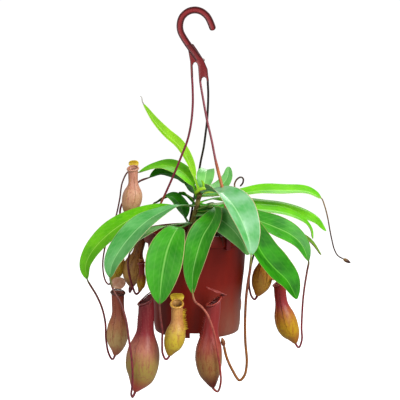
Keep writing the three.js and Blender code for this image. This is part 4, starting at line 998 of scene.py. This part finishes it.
def makePitchers():
    bpy.ops.object.select_all(action="DESELECT")
    bpy.ops.mesh.primitive_cone_add(vertices=4, radius1=0.24, radius2=0.06, depth=1, location=(0, 0, 0.5))
    bpy.ops.object.transform_apply(location=True)
    hairModel = bpy.context.object
    hairModel.data.materials.append(tendrilSkins["rose"])
    for node, jug in jugParts.items():
        line = Line(jug["spine"])
        top = line.at(1)
        look = Vector(jug["look"]).normalized()
        side = Vector((0, 1, 0)).cross(look).normalized()
        back = look.cross(side)
        hinge = math.atan2(Vector(jug["lid"][0]).dot(back), Vector(jug["lid"][0]).dot(side))

        def onWall(t, radius, angle, jug=jug, line=line, look=look, hinge=hinge):
            along = line.along(t).lerp(look, smooth(t, 0.7, 1)).normalized()
            right = Vector((0, 1, 0)).cross(along).normalized()
            behind = along.cross(right)
            climb = jug["rise"] * ((1 + math.cos(angle - hinge)) / 2) ** 2 * smooth(t, 0.84, 1)
            return (line.at(t) + right * radius * math.cos(angle) + behind * radius * math.sin(angle)
                    + along * climb)

        def body(u, v, jug=jug):
            angle = 2 * math.pi * u
            share = jugFeel["outsideShare"]
            if v <= share:
                t = v / share
                return onWall(t, 0 if v == 0 else girth(t, jug), angle)
            t = 1 - (v - share) / (1 - share) * 0.82
            return onWall(t, 0 if v == 1 else max(girth(t, jug) - jugFeel["wall"], 0.4), angle)

        # the lip rolls out further at the front than at its sides
        def lip(u, v, jug=jug, hinge=hinge, look=look):
            angle, turn = 2 * math.pi * u, 2 * math.pi * v
            thick = jugFeel["lip"] * (0.8 if jug["mouth"] < 5 else 1) * (1 + 0.05 * math.cos(angle * 32))
            thick *= 1 + 0.25 * math.cos(angle - hinge - math.pi)
            return onWall(1, jug["mouth"] + 0.2 + thick * math.cos(turn), angle) + look * thick * 0.8 * math.sin(turn)

        pieces = [laid("body", jugFeel["around"], jugFeel["rows"], body, pitcherSkins[jug["skin"]], closed=True),
                  laid("lip", 96, 12, lip, lipSkins[jug["lip"]], closed=True)]
        start = onWall(1, jug["mouth"], hinge)
        lidLine = Line([tuple(start)] + [tuple(Vector(p) + top) for p in jug["lid"][1:]])
        lidShape = bladeShape(lidLine, jug["lidWidth"], (jug["lidFace"], jug["lidFace"]), fold=-9, stalk=0,
                              ripple=0.4, phase=1, peak=0.52, blunt=0.55, tip=0.55)
        lid = laid("lid", 14, 22, lidShape, lidSkins[jug["lidSkin"]])
        applied(lid, "SOLIDIFY", thickness=0.7 * mm, offset=0)
        applied(lid, "SUBSURF", levels=1, render_levels=1)
        bpy.ops.object.shade_smooth()
        pieces.append(lid)
        # spur behind the lid's hinge
        away = start - top
        away.z = 0
        away.normalize()
        spur = Line([tuple(start), tuple(start + away * 1.6 + up * 1.5), tuple(start + away * 2.4 + up * 4)], 8)
        pieces.append(rod("spur", spur, lambda t: 0.5 * (1 - 0.8 * t), lidSkins[jug["lidSkin"]], 6, 0.8))
        # two fringed wings down the side away from the lid
        for turn in (-1, 1):
            angle = hinge + math.pi + turn * math.radians(jugFeel["wingTurn"])
            if "wings" in jug:
                angle = math.radians(jug["wings"][(turn + 1) // 2])
            tall = 1.2 if jug["mouth"] > 5 else 0.7
            first, last = jug.get("wingFrom", jugFeel["wingFrom"]), jugFeel["wingTo"]

            def wing(u, v, jug=jug, angle=angle, tall=tall, first=first, last=last):
                t = first + (last - first) * v
                out = tall * math.sin(math.pi * v) ** 0.5 * u if 0 < v < 1 else 0
                return onWall(t, girth(t, jug) - 0.3 + out, angle + 0.02 * math.sin(v * 40))

            share = jugFeel["outsideShare"]
            ridge = laid("wing", 3, 44, wing, pitcherSkins[jug["skin"]], span=(first * share, last * share * 0.96))
            pieces.append(applied(ridge, "SOLIDIFY", thickness=0.45 * mm, offset=0))
            hairs = 18 if jug["mouth"] > 5 else 8
            for i in range(hairs):
                v = 0.16 + 0.78 * (i + random.uniform(-0.25, 0.25)) / hairs
                t = first + (last - first) * v
                reach = tall * math.sin(math.pi * v) ** 0.5
                root = onWall(t, girth(t, jug) - 0.5 + reach, angle)
                tip = onWall(t + 0.012, girth(t, jug) + reach + jug.get("hair", jugFeel["hair"]) * random.uniform(0.6,
                    1.1),
                             angle + random.uniform(-0.08, 0.08))
                hair = copiedBetween(hairModel, root, tip, jug.get("hairThick", 1))
                hair.data.materials[0] = lidSkins[jug["lidSkin"]]
                pieces.append(hair)
        standFor(joined(pieces, node + "_trap"), node)
    bpy.data.objects.remove(hairModel)


makePitchers()
print("pitchers made")

# Tendrils: from a leaf's tip to a pitcher's foot, or to a bud of (radius, length)
tendrilParts = {
    "tendril_back_left": ("leaf_left_behind", "pitcher_back_left",
                          [(-80, 54, -224), (-93, 48, -239), (-103, 38, -255), (-104, 31, -267), (-101, 28.5, -271)]),
    "tendril_left_hidden": ("leaf_left_arching", "pitcher_left_hidden",
                            [(-93, 49, -209), (-102, 51, -224), (-106, 49, -248), (-112, 47, -274), (-124, 42, -305),
                             (-129, 38, -337), (-125, 36, -359), (-120.5, 35, -363)]),
    "tendril_left": ("leaf_left_far", "pitcher_left",
                     [(-141, -3, -358), (-134, -3, -370), (-127, 0, -388), (-123, 3, -409), (-122.5, 5, -432),
                      (-119, 5, -452), (-114, 5, -460)]),
    "tendril_left_big": ("leaf_left_near", "pitcher_left_big",
                         [(-104, -80, -349), (-96, -82, -363), (-89, -84, -384), (-85, -85, -412), (-82, -86, -434),
                          (-81, -86, -452), (-82, -80, -471), (-84, -69, -486), (-82.5, -62.5, -491)]),
    "tendril_yellow": ("leaf_front_left", "pitcher_yellow",
                       [(-45, -99, -378), (-43, -95, -396), (-43.5, -88, -413), (-43, -82, -429),
                        (-39, -79.5, -437)]),
    "tendril_front": ("leaf_front", "pitcher_front",
                      [(-2, -96, -359), (5, -99, -364), (12, -102, -372), (17, -103, -383), (22, -103, -399),
                       (26, -102, -422), (29, -99, -443), (30, -93, -463), (26, -85, -477)]),
    "tendril_left_rear": ("leaf_back_left", "pitcher_left_rear",
                          [(-65, 50, -271), (-71, 52, -297), (-78, 53, -327), (-87, 51, -353), (-93, 45, -370),
                           (-92, 36, -374)]),
    "tendril_small": ("leaf_left_low", "pitcher_small",
                      [(-89, -40, -319), (-88, -30, -337), (-85, -22, -353), (-80, -16.5, -366)]),
    "tendril_right_near": ("leaf_back_right", "pitcher_right_near",
                           [(92, 68, -291), (85, 46, -303), (77, 24, -319), (71, 8, -339), (69.5, 2, -357),
                            (73, 2, -373), (77, 2, -377)]),
    "tendril_right": ("leaf_right_mid", "pitcher_right",
                      [(146, -4, -338), (143, -5, -357), (141, -5, -376), (140, -5, -395), (139.5, -5, -414),
                       (140, -5, -431), (136, -5, -441)]),
    "tendril_far_left": ("leaf_far_left", "pitcher_far_left",
                         [(-30, 106, -372), (-39, 107, -402), (-41, 104, -429), (-34, 99, -445)]),
    "tendril_far_right": ("leaf_far_middle", "pitcher_far_right",
                          [(25, 108, -379), (24, 108, -407), (28, 104, -429), (36, 99, -439)]),
    "tendril_front_bud": ("leaf_front_right", (2.9, 12),
                          [(66, -94, -319), (63.5, -93, -335), (61.5, -90, -355), (60.5, -86, -384), (61, -84, -412),
                           (63, -83, -441), (60, -83, -457), (54, -83, -463), (45, -83, -450), (37.5, -83, -433),
                           (34, -83, -418)]),
    "tendril_right_bud": ("leaf_right_long", (2.6, 12),
                          [(174, 40, -257), (178, 40, -272), (181, 40, -288), (184, 40, -302), (187.5, 40, -315),
                           (192.5, 40, -324), (201, 40, -329)]),
    "tendril_curl": ("leaf_young", None, [(50, 13, -229), (50, 13, -223), (53, 13.5, -217), (58, 14, -214),
                                          (61.5, 15, -216), (61, 16, -222), (57, 16.5, -227)]),
}


tendrilFeel = {"radius": 1.4, "tendril_front_bud": 1.75, "tendril_right_bud": 0.95, "tendril_curl": 1.15,
               "tendril_left_hidden": 1.1, "taper": 0.75,
               "skins": {"tendril_front": "rose", "tendril_front_bud": "brown", "tendril_right_bud": "olive",
                         "tendril_curl": "olive"}}


def makeTendrils():
    for node, (leaf, end, route) in tendrilParts.items():
        tip, before = Vector(leafParts[leaf]["rib"][-1]), Vector(leafParts[leaf]["rib"][-2])
        points = [tuple(tip.lerp(before, 0.3)), tuple(tip)] + route
        if isinstance(end, str):
            foot, after = (Vector(p) for p in jugParts[end]["spine"][:2])
            points += [tuple(foot), tuple(foot.lerp(after, 0.5))]
        line = Line(points)
        full, thin = tendrilFeel.get(node, tendrilFeel["radius"]), tendrilFeel["taper"]
        swell = jugFeel["foot"] - full if isinstance(end, str) else 0

        def radius(t, line=line, full=full, thin=thin, swell=swell):
            return thin + (full - thin) * smooth(t * line.length, 0, 14) + swell * smooth(t, 0.93, 1)

        skin = tendrilSkins[tendrilFeel["skins"].get(node, "wine")]
        pieces = [rod("thread", line, radius, skin, 12, 1.6)]
        if isinstance(end, tuple):
            wide, length = end
            ahead = line.along(1)
            pod = Line([tuple(line.at(1) - ahead * 0.12 * length), tuple(line.at(1) + ahead * 0.4 * length),
                        tuple(line.at(1) + ahead * 0.9 * length)])
            pieces.append(rod("bud", pod, lambda t, r=wide: max(r * math.sin(math.pi * t ** 0.8) ** 0.7, 0.15),
                              skin, 16, 0.7))
        standFor(joined(pieces, node + "_thread"), node)


makeTendrils()
print("tendrils made")

# Floor, light and camera
stageParts = {"floorHeight": -0.64, "cameraAt": Vector((0.004, -1.35, -0.091)),
              "cameraTo": Vector((0.004, 0, -0.243)), "halfView": 11.0, "room": 0.42,
              "lamps": {"key": ((1.15, -1.15, 0.85), 40, 1.2), "fill": ((-1.3, -1.3, 0.3), 8, 1.2),
                        "front": ((0.7, -1.5, 0.05), 5.5, 0.8),
                        "back": ((0.5, 1.3, 0.9), 12, 0.9)}}


def makeStage():
    s = stageParts
    bpy.ops.object.select_all(action="DESELECT")
    bpy.ops.mesh.primitive_plane_add(size=60, location=(0, 0, s["floorHeight"]))
    floor = bpy.context.object
    floor.name = "floor"
    bpy.ops.object.transform_apply(location=True)
    floor.data.materials.append(newFinish("floor, matt, pale", Base_Color=colour("#f0f0ee"), Roughness=0.95,
                                          Specular_IOR_Level=0.0, Emission_Color=colour("#ffffff"),
                                          Emission_Strength=0.66)[0])
    floor.visible_diffuse = floor.visible_glossy = False  # its glow doesn't light the plant from below
    # the room is white to the camera and dimmer as a light, so that the key lamp shapes the plant
    world = bpy.data.worlds.new("studio")
    world.use_nodes = True
    tree = world.node_tree
    tree.nodes.clear()
    seen = addNode(tree, "ShaderNodeBackground", {"Color": (1, 1, 1, 1), "Strength": 1.05})
    light = addNode(tree, "ShaderNodeBackground", {"Color": (1, 1, 1, 1), "Strength": s["room"]})
    path = addNode(tree, "ShaderNodeLightPath")
    choose = addNode(tree, "ShaderNodeMixShader", links={0: path.outputs["Is Camera Ray"],
                                                          1: light.outputs[0], 2: seen.outputs[0]})
    addNode(tree, "ShaderNodeOutputWorld", links={0: choose.outputs[0]})
    bpy.context.scene.world = world
    for name, (place, power, size) in s["lamps"].items():
        lamp = bpy.data.lights.new(name, "AREA")
        lamp.energy, lamp.size = power, size
        holder = bpy.data.objects.new(name, lamp)
        bpy.context.collection.objects.link(holder)
        holder.location = place
        holder.rotation_euler = (Vector((0, 0, -0.27)) - Vector(place)).to_track_quat("-Z", "Y").to_euler()
    lens = bpy.data.cameras.new("view")
    lens.lens_unit, lens.angle = "FOV", 2 * math.radians(s["halfView"])
    camera = bpy.data.objects.new("view", lens)
    bpy.context.collection.objects.link(camera)
    camera.location = s["cameraAt"]
    camera.rotation_euler = (s["cameraTo"] - s["cameraAt"]).to_track_quat("-Z", "Y").to_euler()
    bpy.context.scene.camera = camera
    bpy.context.scene.view_settings.view_transform = "Standard"


makeStage()
print("stage made")
